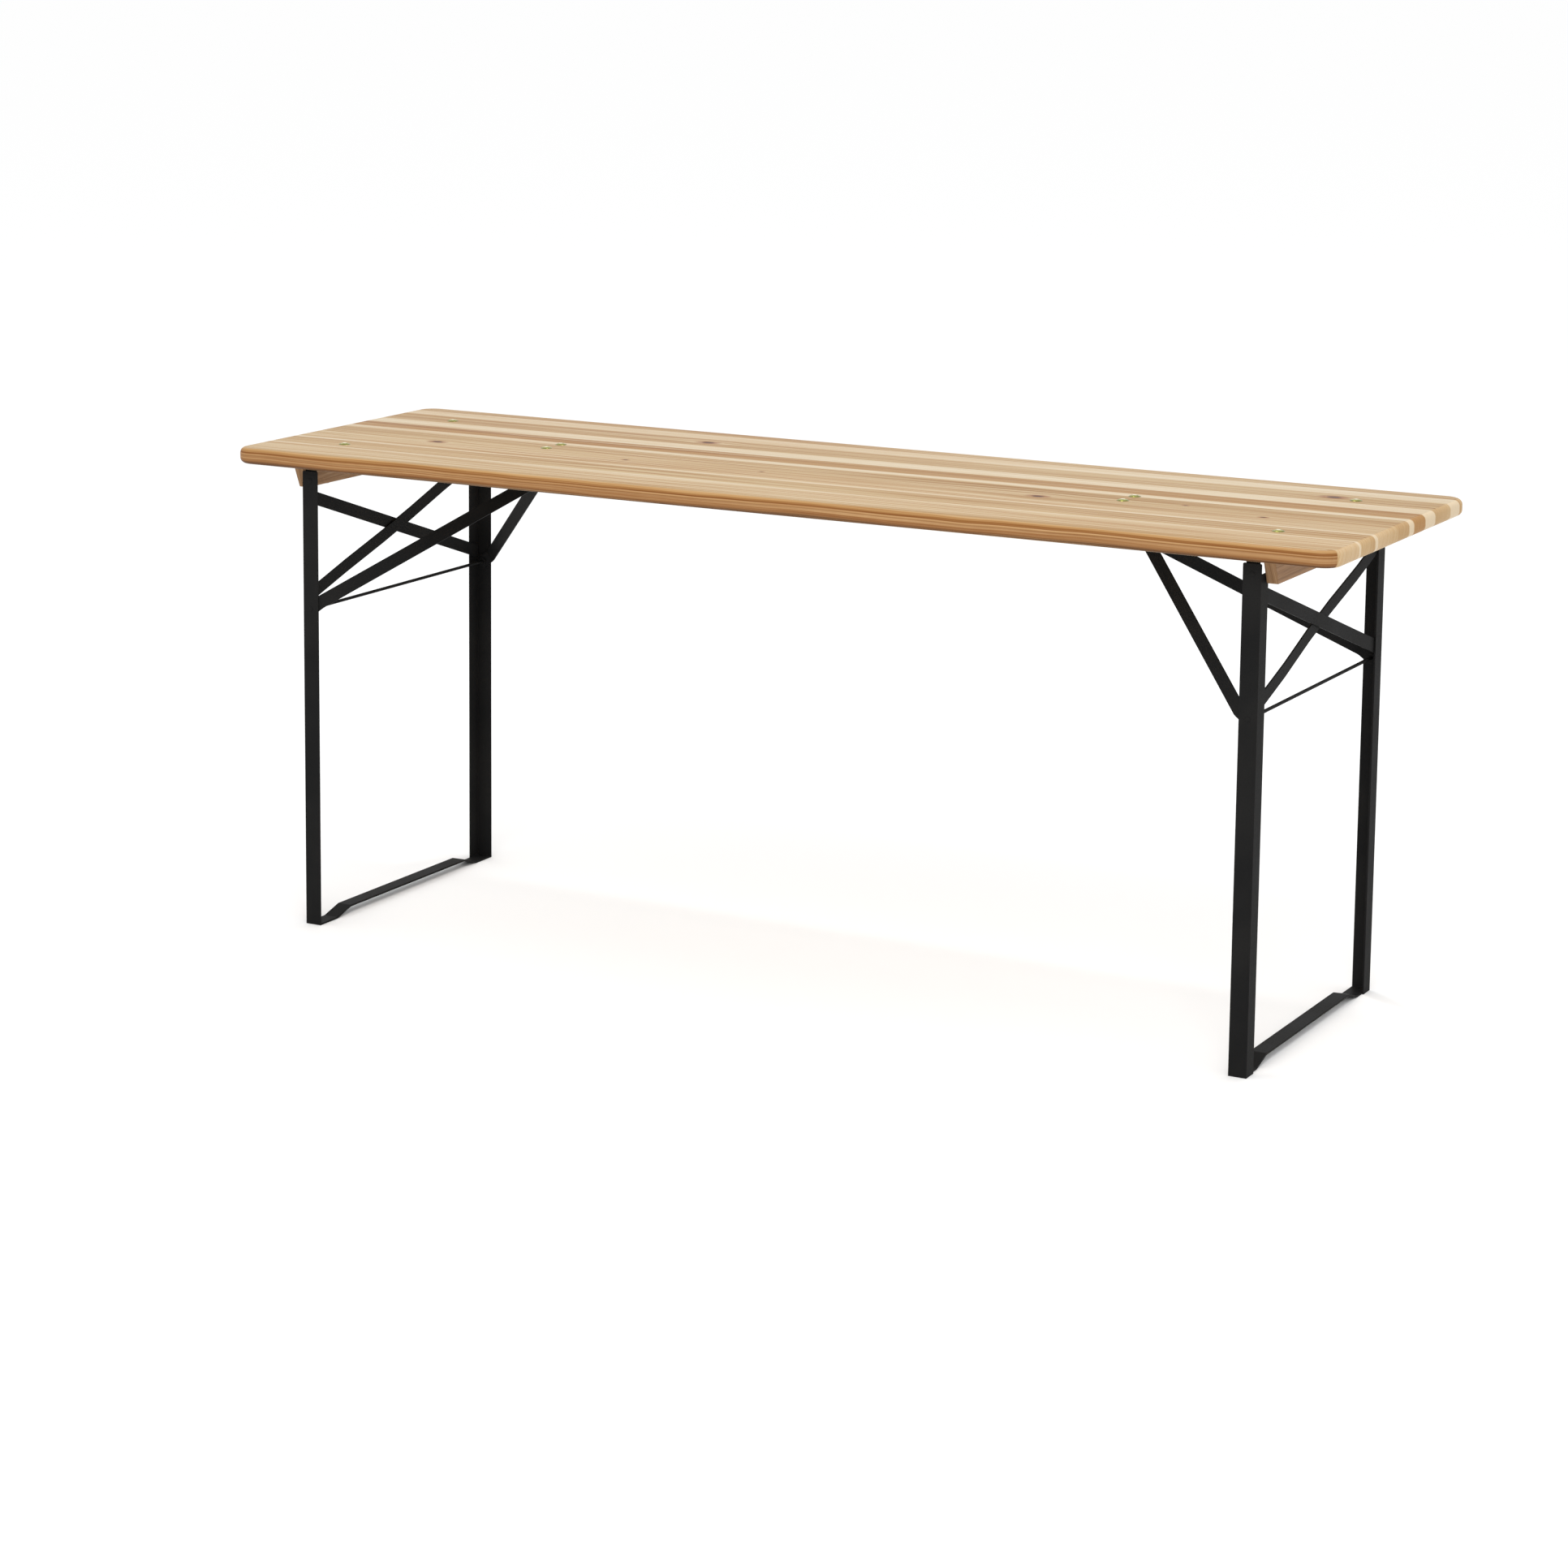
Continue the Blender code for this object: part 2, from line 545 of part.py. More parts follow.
def braces(side, sign, pivot):
    """Two crossed flat bars welded inside the legs' outer flanges; one leans inward to pass the other."""
    near = FLANGE_INSIDE_X - GAP - BRACE_WALL / 2
    far = near - BRACE_WALL - GAP
    cross_z = (FOLD_Z - BRACE_HIGH_DROP + STRUT_Z + BRACE_LOW_RISE) / 2
    straight = plate(side + "_straight_brace", [brace_outline(1)], BRACE_WALL,
                     frame_of((sign * near, 0, 0), Y_AXIS, Z_AXIS))
    start, step = BRACE_STEP_Y, BRACE_STEP_Y - BRACE_STEP_RUN
    end_y = BRACE_END_Y + TRIM
    route = [(-end_y, near), (-start, near), (-step, far), (step, far), (start, near), (end_y, near)]
    stepped = ribbon(side + "_stepped_brace", route, BRACE_BEND_RADIUS, BRACE_RAW_WIDTH, BRACE_WALL,
                     frame_of((0, 0, cross_z), Y_AXIS, sign * X_AXIS))
    shaper = plate(side + "_stepped_brace_outline", [brace_outline(-1)], 4 * (near - far),
                   frame_of((sign * near, 0, 0), Y_AXIS, Z_AXIS))
    boolean(stepped, "INTERSECT", shaper)
    for piece in (straight, stepped):
        hang(piece, pivot)


def strut_rod(side, sign, pivot):
    """Rod across the frame that the strut turns on, headed over outside both legs."""
    rod = riveted_pin(side + "_strut_rod", ROD_RADIUS, 2 * FRAME_HALF_WIDTH, ROD_HEAD,
                      frame_of((sign * PIVOT_X, 0, STRUT_Z), X_AXIS, Z_AXIS))
    hang(rod, pivot)
    y = FLANGE_INSIDE_Y - 2 * GAP - ARM_WALL - WASHER_WALL / 2
    for end, way in ENDS.items():
        outlines = [circle(0, 0, WASHER_RADIUS), circle(0, 0, ROD_RADIUS + GAP)]
        washer = plate(f"{side}_{end}_strut_washer", outlines, WASHER_WALL,
                       frame_of((sign * PIVOT_X, way * y, STRUT_Z), X_AXIS, Z_AXIS))
        hang(washer, pivot)


def leg_frame(side, sign):
    pivot = pivot_empty(side + "_leg_fold_axis", (sign * PIVOT_X, 0, FOLD_Z))
    for end, way in ENDS.items():
        leg(side, sign, end, way, pivot)
    foot_strip(side, sign, pivot)
    braces(side, sign, pivot)
    strut_rod(side, sign, pivot)
    return pivot


# --- struts ---------------------------------------------------------------------------------------


def strut(side, sign, frame_pivot):
    """Two bent flat bars from the rod in the legs to one cross pin in the catch."""
    start = Vector((sign * PIVOT_X, 0, STRUT_Z))
    apex = Vector((sign * STRUT_APEX_X, 0, APEX_Z))
    along = (apex - start).normalized()
    length = (apex - start).length
    pivot = pivot_empty(side + "_strut_axis", start, frame_pivot)
    at_leg = FLANGE_INSIDE_Y - GAP - ARM_WALL / 2
    at_apex = ARM_WALL / 2 + GAP
    across = along.cross(Y_AXIS)
    raw_end = ARM_END_RADIUS + TRIM
    for end, way in ENDS.items():
        route = [(-raw_end, way * at_leg), (ARM_FLAT_AT_LEG, way * at_leg),
                 (length - ARM_FLAT_AT_APEX, way * at_apex), (length + raw_end, way * at_apex)]
        arm = ribbon(f"{side}_{end}_strut_arm", route, ARM_BEND_RADIUS, STRIP_WIDTH + 2 * TRIM, ARM_WALL,
                     frame_of(start, along, Y_AXIS))
        shaper = plate(f"{side}_{end}_strut_arm_outline", arm_outlines(length), 2 * FRAME_HALF_WIDTH,
                       frame_of(start, along, across))
        boolean(arm, "INTERSECT", shaper)
        hang(arm, pivot)
    grip = 2 * (CHEEK_INSIDE_Y + CATCH_WALL)
    pin = riveted_pin(side + "_strut_pin", APEX_PIN_RADIUS, grip, APEX_PIN_HEAD,
                      frame_of(apex, along, across))
    hang(pin, pivot)


def arm_outlines(length):
    """An arm seen along Y: a long bar with round ends about its two holes."""
    half_turn = [math.pi * k / 10 for k in range(11)]
    near = [(-ARM_END_RADIUS * math.sin(a), ARM_END_RADIUS * math.cos(a)) for a in half_turn]
    far = [(length + ARM_END_RADIUS * math.sin(a), -ARM_END_RADIUS * math.cos(a)) for a in half_turn]
    holes = [circle(0, 0, ROD_RADIUS + GAP), circle(length, 0, APEX_PIN_RADIUS + GAP)]
    return [near + far] + holes


def shade_round_pieces():
    """Smooth shading with sharp edges kept, on every piece."""
    for obj in PARTS.objects:
        if obj.type == "MESH":
            obj.data.shade_smooth()
            obj.data.set_sharp_from_angle(angle=math.radians(35))


table_top()
for side_name, side_sign in SIDES.items():
    batten(side_name, side_sign)
    hinge_bar(side_name, side_sign)
    catch(side_name, side_sign)
    strut(side_name, side_sign, leg_frame(side_name, side_sign))
shade_round_pieces()
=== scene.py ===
"""Looks of the folding table: varnished pine top, black steel frames, plated bolts, on a pale floor.

Every part keeps the place and size it has in the frame. Metres, +Z up, +X along the table.
"""
import json
import math
import random

import bmesh
import bpy
from mathutils import Matrix, Vector


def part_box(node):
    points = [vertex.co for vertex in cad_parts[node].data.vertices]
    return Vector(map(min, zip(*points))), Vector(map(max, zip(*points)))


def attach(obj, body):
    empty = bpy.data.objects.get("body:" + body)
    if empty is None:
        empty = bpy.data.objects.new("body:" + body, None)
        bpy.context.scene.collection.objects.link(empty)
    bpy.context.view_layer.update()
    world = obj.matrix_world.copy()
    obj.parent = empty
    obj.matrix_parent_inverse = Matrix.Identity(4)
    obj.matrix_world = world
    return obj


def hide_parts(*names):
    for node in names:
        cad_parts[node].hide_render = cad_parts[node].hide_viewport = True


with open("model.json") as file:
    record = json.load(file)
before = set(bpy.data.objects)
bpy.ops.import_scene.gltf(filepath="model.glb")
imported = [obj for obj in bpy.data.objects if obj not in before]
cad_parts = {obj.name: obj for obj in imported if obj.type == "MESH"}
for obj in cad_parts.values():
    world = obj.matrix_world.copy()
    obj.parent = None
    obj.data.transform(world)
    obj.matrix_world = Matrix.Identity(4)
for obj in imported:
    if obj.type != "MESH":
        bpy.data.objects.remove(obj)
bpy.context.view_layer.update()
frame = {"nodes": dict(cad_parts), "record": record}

SIDES = ("left", "right")
ENDS = ("front", "back")
BOLTED = ("hinge", "catch")

# --- camera ---------------------------------------------------------------------------------------

CAMERA_PLACE = (2.62935, -5.08930, 1.62552)
CAMERA_YAW = 0.50602
CAMERA_PITCH = 0.15605
CAMERA_ROLL = 0.00807
CAMERA_SENSOR = 36
CAMERA_LENS = 88.665
CAMERA_SHIFT = (0.0419, -0.1894)
CAMERA_REACH = 200


def make_camera():
    data = bpy.data.cameras.new("camera")
    data.sensor_width = CAMERA_SENSOR
    data.lens = CAMERA_LENS
    data.shift_x, data.shift_y = CAMERA_SHIFT
    data.clip_end = CAMERA_REACH
    camera = bpy.data.objects.new("camera", data)
    turn = Matrix.Rotation(CAMERA_YAW, 4, "Z")
    tilt = Matrix.Rotation(math.pi / 2 - CAMERA_PITCH, 4, "X")
    roll = Matrix.Rotation(CAMERA_ROLL, 4, "Z")
    camera.matrix_world = Matrix.Translation(CAMERA_PLACE) @ turn @ tilt @ roll
    bpy.context.scene.collection.objects.link(camera)
    bpy.context.scene.camera = camera


# --- shader nodes ---------------------------------------------------------------------------------


def opaque(value):
    """A plain three-part colour with its alpha added; anything else as it is."""
    return (*value, 1) if isinstance(value, tuple) and len(value) == 3 else value


class Graph:
    """A material's node tree, with short calls for the nodes used here."""

    def __init__(self, name):
        self.material = bpy.data.materials.new(name)
        self.material.use_nodes = True
        self.tree = self.material.node_tree
        self.shader = self.tree.nodes["Principled BSDF"]

    def add(self, kind, **settings):
        node = self.tree.nodes.new("ShaderNode" + kind)
        for key, value in settings.items():
            setattr(node, key, value)
        return node

    def put(self, socket, value):
        if isinstance(value, bpy.types.NodeSocket):
            self.tree.links.new(value, socket)
        else:
            socket.default_value = value

    def place(self):
        return self.add("TexCoord").outputs["Object"]

    def normal_parts(self):
        return self.split(self.add("TexCoord").outputs["Normal"])

    def split(self, vector):
        node = self.add("SeparateXYZ")
        self.put(node.inputs[0], vector)
        return node.outputs

    def join(self, x, y, z):
        node = self.add("CombineXYZ")
        for socket, value in zip(node.inputs, (x, y, z)):
            self.put(socket, value)
        return node.outputs[0]

    def calc(self, operation, a, b=0.0, c=0.0):
        node = self.add("Math", operation=operation)
        for socket, value in zip(node.inputs, (a, b, c)):
            self.put(socket, value)
        return node.outputs[0]

    def blend(self, a, b, share):
        """Both numbers together, with this share of the second."""
        return self.calc("MULTIPLY_ADD", b, share, self.calc("MULTIPLY", a, 1 - share))

    def stretch(self, vector, scale):
        node = self.add("VectorMath", operation="MULTIPLY")
        self.put(node.inputs[0], vector)
        self.put(node.inputs[1], scale)
        return node.outputs[0]

    def oval(self, along, across, half_along, half_across):
        """How far out a place lies in an oval: 0 in its middle and 1 on its rim."""
        parts = [self.calc("POWER", self.calc("DIVIDE", offset, half), 2.0)
                 for offset, half in ((along, half_along), (across, half_across))]
        return self.calc("ADD", *parts)

    def length(self, vector):
        node = self.add("VectorMath", operation="LENGTH")
        self.put(node.inputs[0], vector)
        return node.outputs["Value"]

    def noise(self, vector, scale=1.0, detail=2.0, roughness=0.5, distortion=0.0):
        node = self.add("TexNoise")
        settings = (("Vector", vector), ("Scale", scale), ("Detail", detail), ("Roughness", roughness),
                    ("Distortion", distortion))
        for key, value in settings:
            self.put(node.inputs[key], value)
        return node.outputs["Fac"]

    def remap(self, value, low, high, to_low=0.0, to_high=1.0):
        """The value eased from one range into another, and held at its ends."""
        node = self.add("MapRange", interpolation_type="SMOOTHSTEP")
        for key, number in (("Value", value), ("From Min", low), ("From Max", high),
                            ("To Min", to_low), ("To Max", to_high)):
            self.put(node.inputs[key], number)
        return node.outputs[0]

    def ramp(self, value, stops):
        """The colour at this value among (position, colour) stops."""
        node = self.add("ValToRGB")
        marks = node.color_ramp.elements
        while len(marks) < len(stops):
            marks.new(1.0)
        for mark, (position, colour) in zip(marks, stops):
            mark.position = position
            mark.color = (*colour, 1)
        self.put(node.inputs[0], value)
        return node.outputs[0]

    def mix(self, share, a, b, way="MIX"):
        """Both colours together, with this share of the second."""
        node = self.add("Mix", data_type="RGBA", blend_type=way)
        node.clamp_factor = True
        self.put(node.inputs[0], share)
        for socket, value in ((node.inputs[6], a), (node.inputs[7], b)):
            self.put(socket, opaque(value))
        return node.outputs[2]

    def tint(self, colour, share, tone):
        """The colour multiplied by a tone, as strongly as the share says."""
        return self.mix(share, colour, tone, "MULTIPLY")

    def bump(self, height, strength, distance):
        node = self.add("Bump")
        self.put(node.inputs["Strength"], strength)
        self.put(node.inputs["Distance"], distance)
        self.put(node.inputs["Height"], height)
        return node.outputs[0]

    def finish(self, **sockets):
        """Sets the shader's sockets, named with underscores, and gives the material."""
        for key, value in sockets.items():
            self.put(self.shader.inputs[key.replace("_", " ")], opaque(value))
        return self.material


# --- timber ---------------------------------------------------------------------------------------

TOP_LOW, TOP_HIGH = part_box("table_top")
TOP_LEVEL = TOP_HIGH.z
TOP_THICKNESS = TOP_HIGH.z - TOP_LOW.z
TOP_HALF_WIDTH = TOP_HIGH.y
TOP_WIDTH = 2 * TOP_HALF_WIDTH

CREAM = (0.548, 0.470, 0.345)
PALE = (0.482, 0.378, 0.242)
STRAW = (0.446, 0.337, 0.196)
TAN = (0.402, 0.286, 0.152)
BROWN = (0.345, 0.205, 0.082)
KNOT_RING = (0.230, 0.090, 0.030)
KNOT_HEART = (0.050, 0.016, 0.010)

# Glued strips across the top: how far each reaches from the back edge, in metres, and its tones there
STRIPS = (
    (0.033, TAN, STRAW), (0.038, BROWN, TAN), (0.078, CREAM, CREAM), (0.145, STRAW, TAN),
    (0.188, CREAM, CREAM), (0.236, BROWN, BROWN), (0.256, CREAM, CREAM), (0.303, TAN, TAN),
    (0.385, STRAW, PALE), (0.396, CREAM, CREAM), (0.430, TAN, STRAW), (0.452, STRAW, STRAW),
    (0.461, CREAM, CREAM), (0.532, PALE, PALE), (0.550, STRAW, STRAW),
)
STRIP_JOINT = 0.0007
END_LIFT = (1.10, 1.04, 0.98)

# Grain of the top: how fast it changes along the table and across it, its layer and its detail
STREAKS = (0.8, 95.0, 0.0, 3.0)
VEINS = (1.3, 190.0, 3.0, 2.0)
LINES = (1.6, 420.0, 6.0, 2.0)
FIBRES = (26.0, 1500.0, 9.0, 2.0)
GRAIN_WANDER = 0.020  # how far the grain strays sideways, in metres

# Tones the grain gives the wood: most multiply its colour, the pale ones are mixed in
BLUSH_TONE = (0.90, 0.80, 0.69)
STREAK_TONE = (0.765, 0.635, 0.465)
VEIN_TONE = (0.72, 0.555, 0.375)
PALE_VEIN = (0.600, 0.500, 0.360)
LINE_TONE = (0.80, 0.64, 0.45)
FIBRE_TONE = (0.86, 0.79, 0.70)
SIDE_LINE_TONE = (0.72, 0.58, 0.46)
PALE_SIDE_LINE = (0.500, 0.310, 0.150)
END_LINE_TONE = (0.84, 0.71, 0.54)
BUSY_BLUE = (0.330, 0.220)  # blue in a strip's tone where its grain is faintest and where it is full

# The long faces: how far their lines sway, and how fast they change along the table and down it
SIDE_SWAY = 0.007
SIDE_LINES = (1.5, 560.0)

# The ends: the level at which their year rings run straight, how much they bow, and how close they lie
RING_LEVEL = 0.700
RING_BOW = 6.0
RING_PITCH = 520.0

# Tones down the long faces, as shares of the thickness from the upper face; the darkest, at the lower edge,
# are painted shade
SIDE_TONES_WITH_LOWER_SHADE = (
    (0.00, (0.420, 0.275, 0.140)), (0.06, (0.400, 0.235, 0.098)), (0.14, (0.330, 0.175, 0.064)),
    (0.22, (0.250, 0.112, 0.036)), (0.28, (0.205, 0.084, 0.025)), (0.32, (0.420, 0.250, 0.115)),
    (0.36, (0.390, 0.220, 0.098)), (0.41, (0.270, 0.140, 0.057)), (0.50, (0.350, 0.195, 0.088)),
    (0.60, (0.340, 0.185, 0.080)), (0.68, (0.280, 0.140, 0.056)), (0.76, (0.260, 0.125, 0.048)),
    (0.86, (0.165, 0.083, 0.037)), (1.00, (0.110, 0.058, 0.028)),
)

# Knots in the top: along the table, from the back edge, and size
TOP_KNOTS = (
    (-0.300, 0.112, 0.0095), (0.735, 0.108, 0.0100), (-0.665, 0.330, 0.0080), (0.365, 0.327, 0.0085),
    (-0.318, 0.338, 0.0035), (0.712, 0.331, 0.0040), (-0.085, 0.333, 0.0028), (0.580, 0.292, 0.0030),
)
# In knot sizes: half length and half width of a knot, and of the grain that bends round it
KNOT_OVAL = (1.35, 0.85)
KNOT_BEND_OVAL = (4.5, 2.4)
KNOT_BEND = 0.9
KNOT_RING_RANGE = (4.5, 0.6)
KNOT_HEART_RANGE = (1.00, 0.25)


def knot_field(graph, x, y, knots):
    """How the grain bends round the knots, how much of their ring shows and how much of their heart."""
    bend, ring, heart = 0.0, 0.0, 0.0
    for knot_x, knot_y, size in knots:
        across = graph.calc("SUBTRACT", y, knot_y)
        along = graph.calc("SUBTRACT", x, knot_x)
        bent = graph.oval(along, across, *[size * share for share in KNOT_BEND_OVAL])
        fade = graph.calc("EXPONENT", graph.calc("MULTIPLY", bent, -1.0))
        push = graph.calc("MULTIPLY", graph.calc("MULTIPLY", across, fade), KNOT_BEND)
        bend = graph.calc("ADD", bend, push)
        far = graph.oval(along, across, *[size * share for share in KNOT_OVAL])
        ring = graph.calc("MAXIMUM", ring, graph.remap(far, *KNOT_RING_RANGE))
        heart = graph.calc("MAXIMUM", heart, graph.remap(far, *KNOT_HEART_RANGE))
    return bend, ring, heart


class TopGrain:
    """Noises and distances that the top's faces share."""

    def __init__(self, graph):
        self.place = graph.place()
        self.x, y, self.z = graph.split(self.place)
        self.from_back = graph.calc("SUBTRACT", TOP_HALF_WIDTH, y)
        bend, self.knot_ring, self.knot_heart = knot_field(graph, self.x, self.from_back, TOP_KNOTS)
        drift = graph.noise(graph.stretch(self.place, (2.2, 9.0, 9.0)), detail=1.0)
        wander = graph.calc("MULTIPLY", graph.calc("SUBTRACT", drift, 0.5), GRAIN_WANDER)
        self.flow = graph.calc("ADD", graph.calc("SUBTRACT", self.from_back, bend), wander)
        self.streaks = self.along_grain(graph, *STREAKS)
        self.veins = self.along_grain(graph, *VEINS)
        self.lines = self.along_grain(graph, *LINES)
        self.fibres = self.along_grain(graph, *FIBRES)

    def along_grain(self, graph, along, across, layer, detail):
        """Noise drawn out along the table and following the grain across it."""
        drawn_x = graph.calc("MULTIPLY", self.x, along)
        drawn_y = graph.calc("MULTIPLY", self.flow, across)
        return graph.noise(graph.join(drawn_x, drawn_y, layer), detail=detail, roughness=0.6)


def strip_tones(graph, grain):
    """Colour of the glued strips, with straight joints between them."""
    stops, start = [], 0.0
    for end, tone, next_tone in STRIPS:
        stops.append(((start + STRIP_JOINT) / TOP_WIDTH, tone))
        stops.append(((end - STRIP_JOINT) / TOP_WIDTH, next_tone))
        start = end
    return graph.ramp(graph.calc("DIVIDE", grain.from_back, TOP_WIDTH), stops)


def busyness(graph, strips, least):
    """How strongly a strip shows its grain: least in the palest strips, fully in the darker ones."""
    return graph.remap(graph.split(strips)[2], *BUSY_BLUE, least, 1.0)


def with_fibres(graph, grain, colour):
    """The colour with the wood's finest lines over it."""
    return graph.tint(colour, graph.remap(grain.fibres, 0.35, 0.70, 0.0, 0.30), FIBRE_TONE)


def upper_face(graph, grain, strips):
    """Strips with their year rings cut lengthwise: busy in the dark strips, faint in the pale ones."""
    busy = busyness(graph, strips, 0.30)
    blush = graph.noise(graph.stretch(grain.place, (1.1, 7.0, 7.0)), detail=2.0)
    colour = graph.tint(strips, graph.remap(blush, 0.40, 0.68, 0.0, 0.65), BLUSH_TONE)
    streaks = graph.calc("MULTIPLY", graph.remap(grain.streaks, 0.38, 0.54, 0.90, 0.0), busy)
    colour = graph.tint(colour, streaks, STREAK_TONE)
    dark_veins = graph.calc("MULTIPLY", graph.remap(grain.veins, 0.54, 0.66, 0.0, 0.95), busy)
    colour = graph.tint(colour, dark_veins, VEIN_TONE)
    colour = graph.mix(graph.remap(grain.veins, 0.43, 0.33, 0.0, 0.55), colour, PALE_VEIN)
    colour = graph.tint(colour, graph.remap(grain.lines, 0.52, 0.62, 0.0, 0.65), LINE_TONE)
    return with_fibres(graph, grain, colour)


def long_face(graph, grain):
    """One strip seen on its side, darker and more golden, its lines running along it in slow waves, with
    painted shade toward its lower edge.
    """
    wave = graph.noise(graph.stretch(grain.place, (4.5, 0.0, 12.0)), detail=2.0)
    sway = graph.calc("MULTIPLY", graph.calc("SUBTRACT", wave, 0.5), SIDE_SWAY)
    depth = graph.calc("ADD", graph.calc("SUBTRACT", TOP_LEVEL, grain.z), sway)
    colour = graph.ramp(graph.calc("DIVIDE", depth, TOP_THICKNESS), SIDE_TONES_WITH_LOWER_SHADE)
    drawn_x = graph.calc("MULTIPLY", grain.x, SIDE_LINES[0])
    drawn_z = graph.calc("MULTIPLY", depth, SIDE_LINES[1])
    lines = graph.noise(graph.join(drawn_x, 0.0, drawn_z), detail=2.0, roughness=0.55)
    colour = graph.tint(colour, graph.remap(lines, 0.50, 0.60, 0.0, 0.85), SIDE_LINE_TONE)
    colour = graph.mix(graph.remap(lines, 0.42, 0.34, 0.0, 0.50), colour, PALE_SIDE_LINE)
    return with_fibres(graph, grain, colour)


def end_face(graph, grain, strips):
    """The strips' ends, with the year rings as short curved lines."""
    rise = graph.calc("POWER", graph.calc("SUBTRACT", grain.z, RING_LEVEL), 2.0)
    bowed = graph.calc("ADD", grain.from_back, graph.calc("MULTIPLY", rise, RING_BOW))
    rings = graph.noise(graph.join(0.0, graph.calc("MULTIPLY", bowed, RING_PITCH), 0.0), detail=1.0)
    lines = graph.calc("MULTIPLY", graph.remap(rings, 0.44, 0.60, 0.0, 0.90), busyness(graph, strips, 0.25))
    return graph.tint(graph.tint(strips, lines, END_LINE_TONE), 1.0, END_LIFT)


def face_shares(graph):
    """How much a point belongs to a long face and to an end."""
    steep_x, steep_y, steep_z = [graph.calc("ABSOLUTE", part) for part in graph.normal_parts()]
    lean = graph.calc("SUBTRACT", steep_y, graph.calc("MULTIPLY", steep_x, 0.55))
    upright_share = graph.remap(steep_z, 0.985, 0.930)
    long_share = graph.calc("MULTIPLY", graph.remap(lean, -0.02, 0.03), upright_share)
    end_share = graph.calc("MULTIPLY", graph.remap(steep_x, 0.15, 0.45), graph.remap(lean, 0.03, -0.02))
    return long_share, end_share


def pine_top():
    graph = Graph("pine_top")
    grain = TopGrain(graph)
    strips = strip_tones(graph, grain)
    long_share, end_share = face_shares(graph)
    colour = graph.mix(end_share, upper_face(graph, grain, strips), end_face(graph, grain, strips))
    colour = graph.mix(long_share, colour, long_face(graph, grain))
    knot_noise = graph.noise(graph.stretch(grain.place, (70.0, 90.0, 90.0)), detail=3.0)
    ring = graph.calc("MULTIPLY", grain.knot_ring, graph.remap(knot_noise, 0.25, 0.65, 0.50, 0.95))
    colour = graph.mix(ring, colour, KNOT_RING)
    colour = graph.mix(graph.calc("MULTIPLY", grain.knot_heart, 0.92), colour, KNOT_HEART)
    relief = graph.blend(grain.lines, grain.fibres, 0.3)
    return graph.finish(
        Base_Color=colour, Roughness=graph.remap(relief, 0.30, 0.70, 0.38, 0.52),
        Normal=graph.bump(relief, 0.22, 0.0004), Specular_IOR_Level=0.03,
        Coat_Weight=0.05, Coat_Roughness=0.12)


BATTEN_TONES = (
    (0.32, (0.226, 0.129, 0.067)), (0.45, (0.282, 0.166, 0.090)), (0.57, (0.334, 0.205, 0.117)),
    (0.72, (0.381, 0.247, 0.149)),
)
BATTEN_END_TONES = (
    (0.38, (0.165, 0.085, 0.040)), (0.50, (0.255, 0.148, 0.075)), (0.62, (0.320, 0.195, 0.105)),
)
BATTEN_FIBRE_TONE = (0.84, 0.75, 0.66)
BATTEN_WANDER = 0.016
BATTEN_HEART_LEVEL = 0.64  # the level of the tree's heart, round which the end grain runs
BATTEN_RING_PITCH = 420.0


def pine_batten():
    graph = Graph("pine_batten")
    place = graph.place()
    x, y, z = graph.split(place)
    drift = graph.noise(graph.stretch(place, (12.0, 3.0, 12.0)), detail=2.0)
    wander = graph.calc("MULTIPLY", drift, BATTEN_WANDER)
    grown = graph.join(graph.calc("ADD", x, wander), y, graph.calc("ADD", z, wander))
    lines = graph.noise(graph.stretch(grown, (260.0, 2.2, 260.0)), detail=2.0, roughness=0.6)
    fibres = graph.noise(graph.stretch(grown, (900.0, 34.0, 900.0)), detail=2.0, roughness=0.6)
    colour = graph.ramp(lines, BATTEN_TONES)
    facing_end = graph.remap(graph.calc("ABSOLUTE", graph.normal_parts()[1]), 0.70, 0.85)
    from_heart = graph.length(graph.join(x, 0.0, graph.calc("SUBTRACT", z, BATTEN_HEART_LEVEL)))
    ring_place = graph.join(graph.calc("MULTIPLY", from_heart, BATTEN_RING_PITCH), 0.0, 0.0)
    end_colour = graph.ramp(graph.noise(ring_place, detail=1.0), BATTEN_END_TONES)
    colour = graph.mix(facing_end, colour, end_colour)
    colour = graph.tint(colour, graph.remap(fibres, 0.38, 0.72, 0.0, 0.30), BATTEN_FIBRE_TONE)
    grain = graph.blend(lines, fibres, 0.5)
    return graph.finish(
        Base_Color=colour, Roughness=graph.remap(grain, 0.30, 0.70, 0.52, 0.66),
        Normal=graph.bump(grain, 0.35, 0.0005), Specular_IOR_Level=0.10)


# --- metals ---------------------------------------------------------------------------------------

STEEL_COOL = (0.0100, 0.0100, 0.0101)
STEEL_WARM = (0.0145, 0.0141, 0.0136)
STEEL_DIMPLE = (0.0070, 0.0070, 0.0071)
STEEL_SCUFF = (0.024, 0.023, 0.022)
STEEL_GRIT = (0.020, 0.020, 0.020)


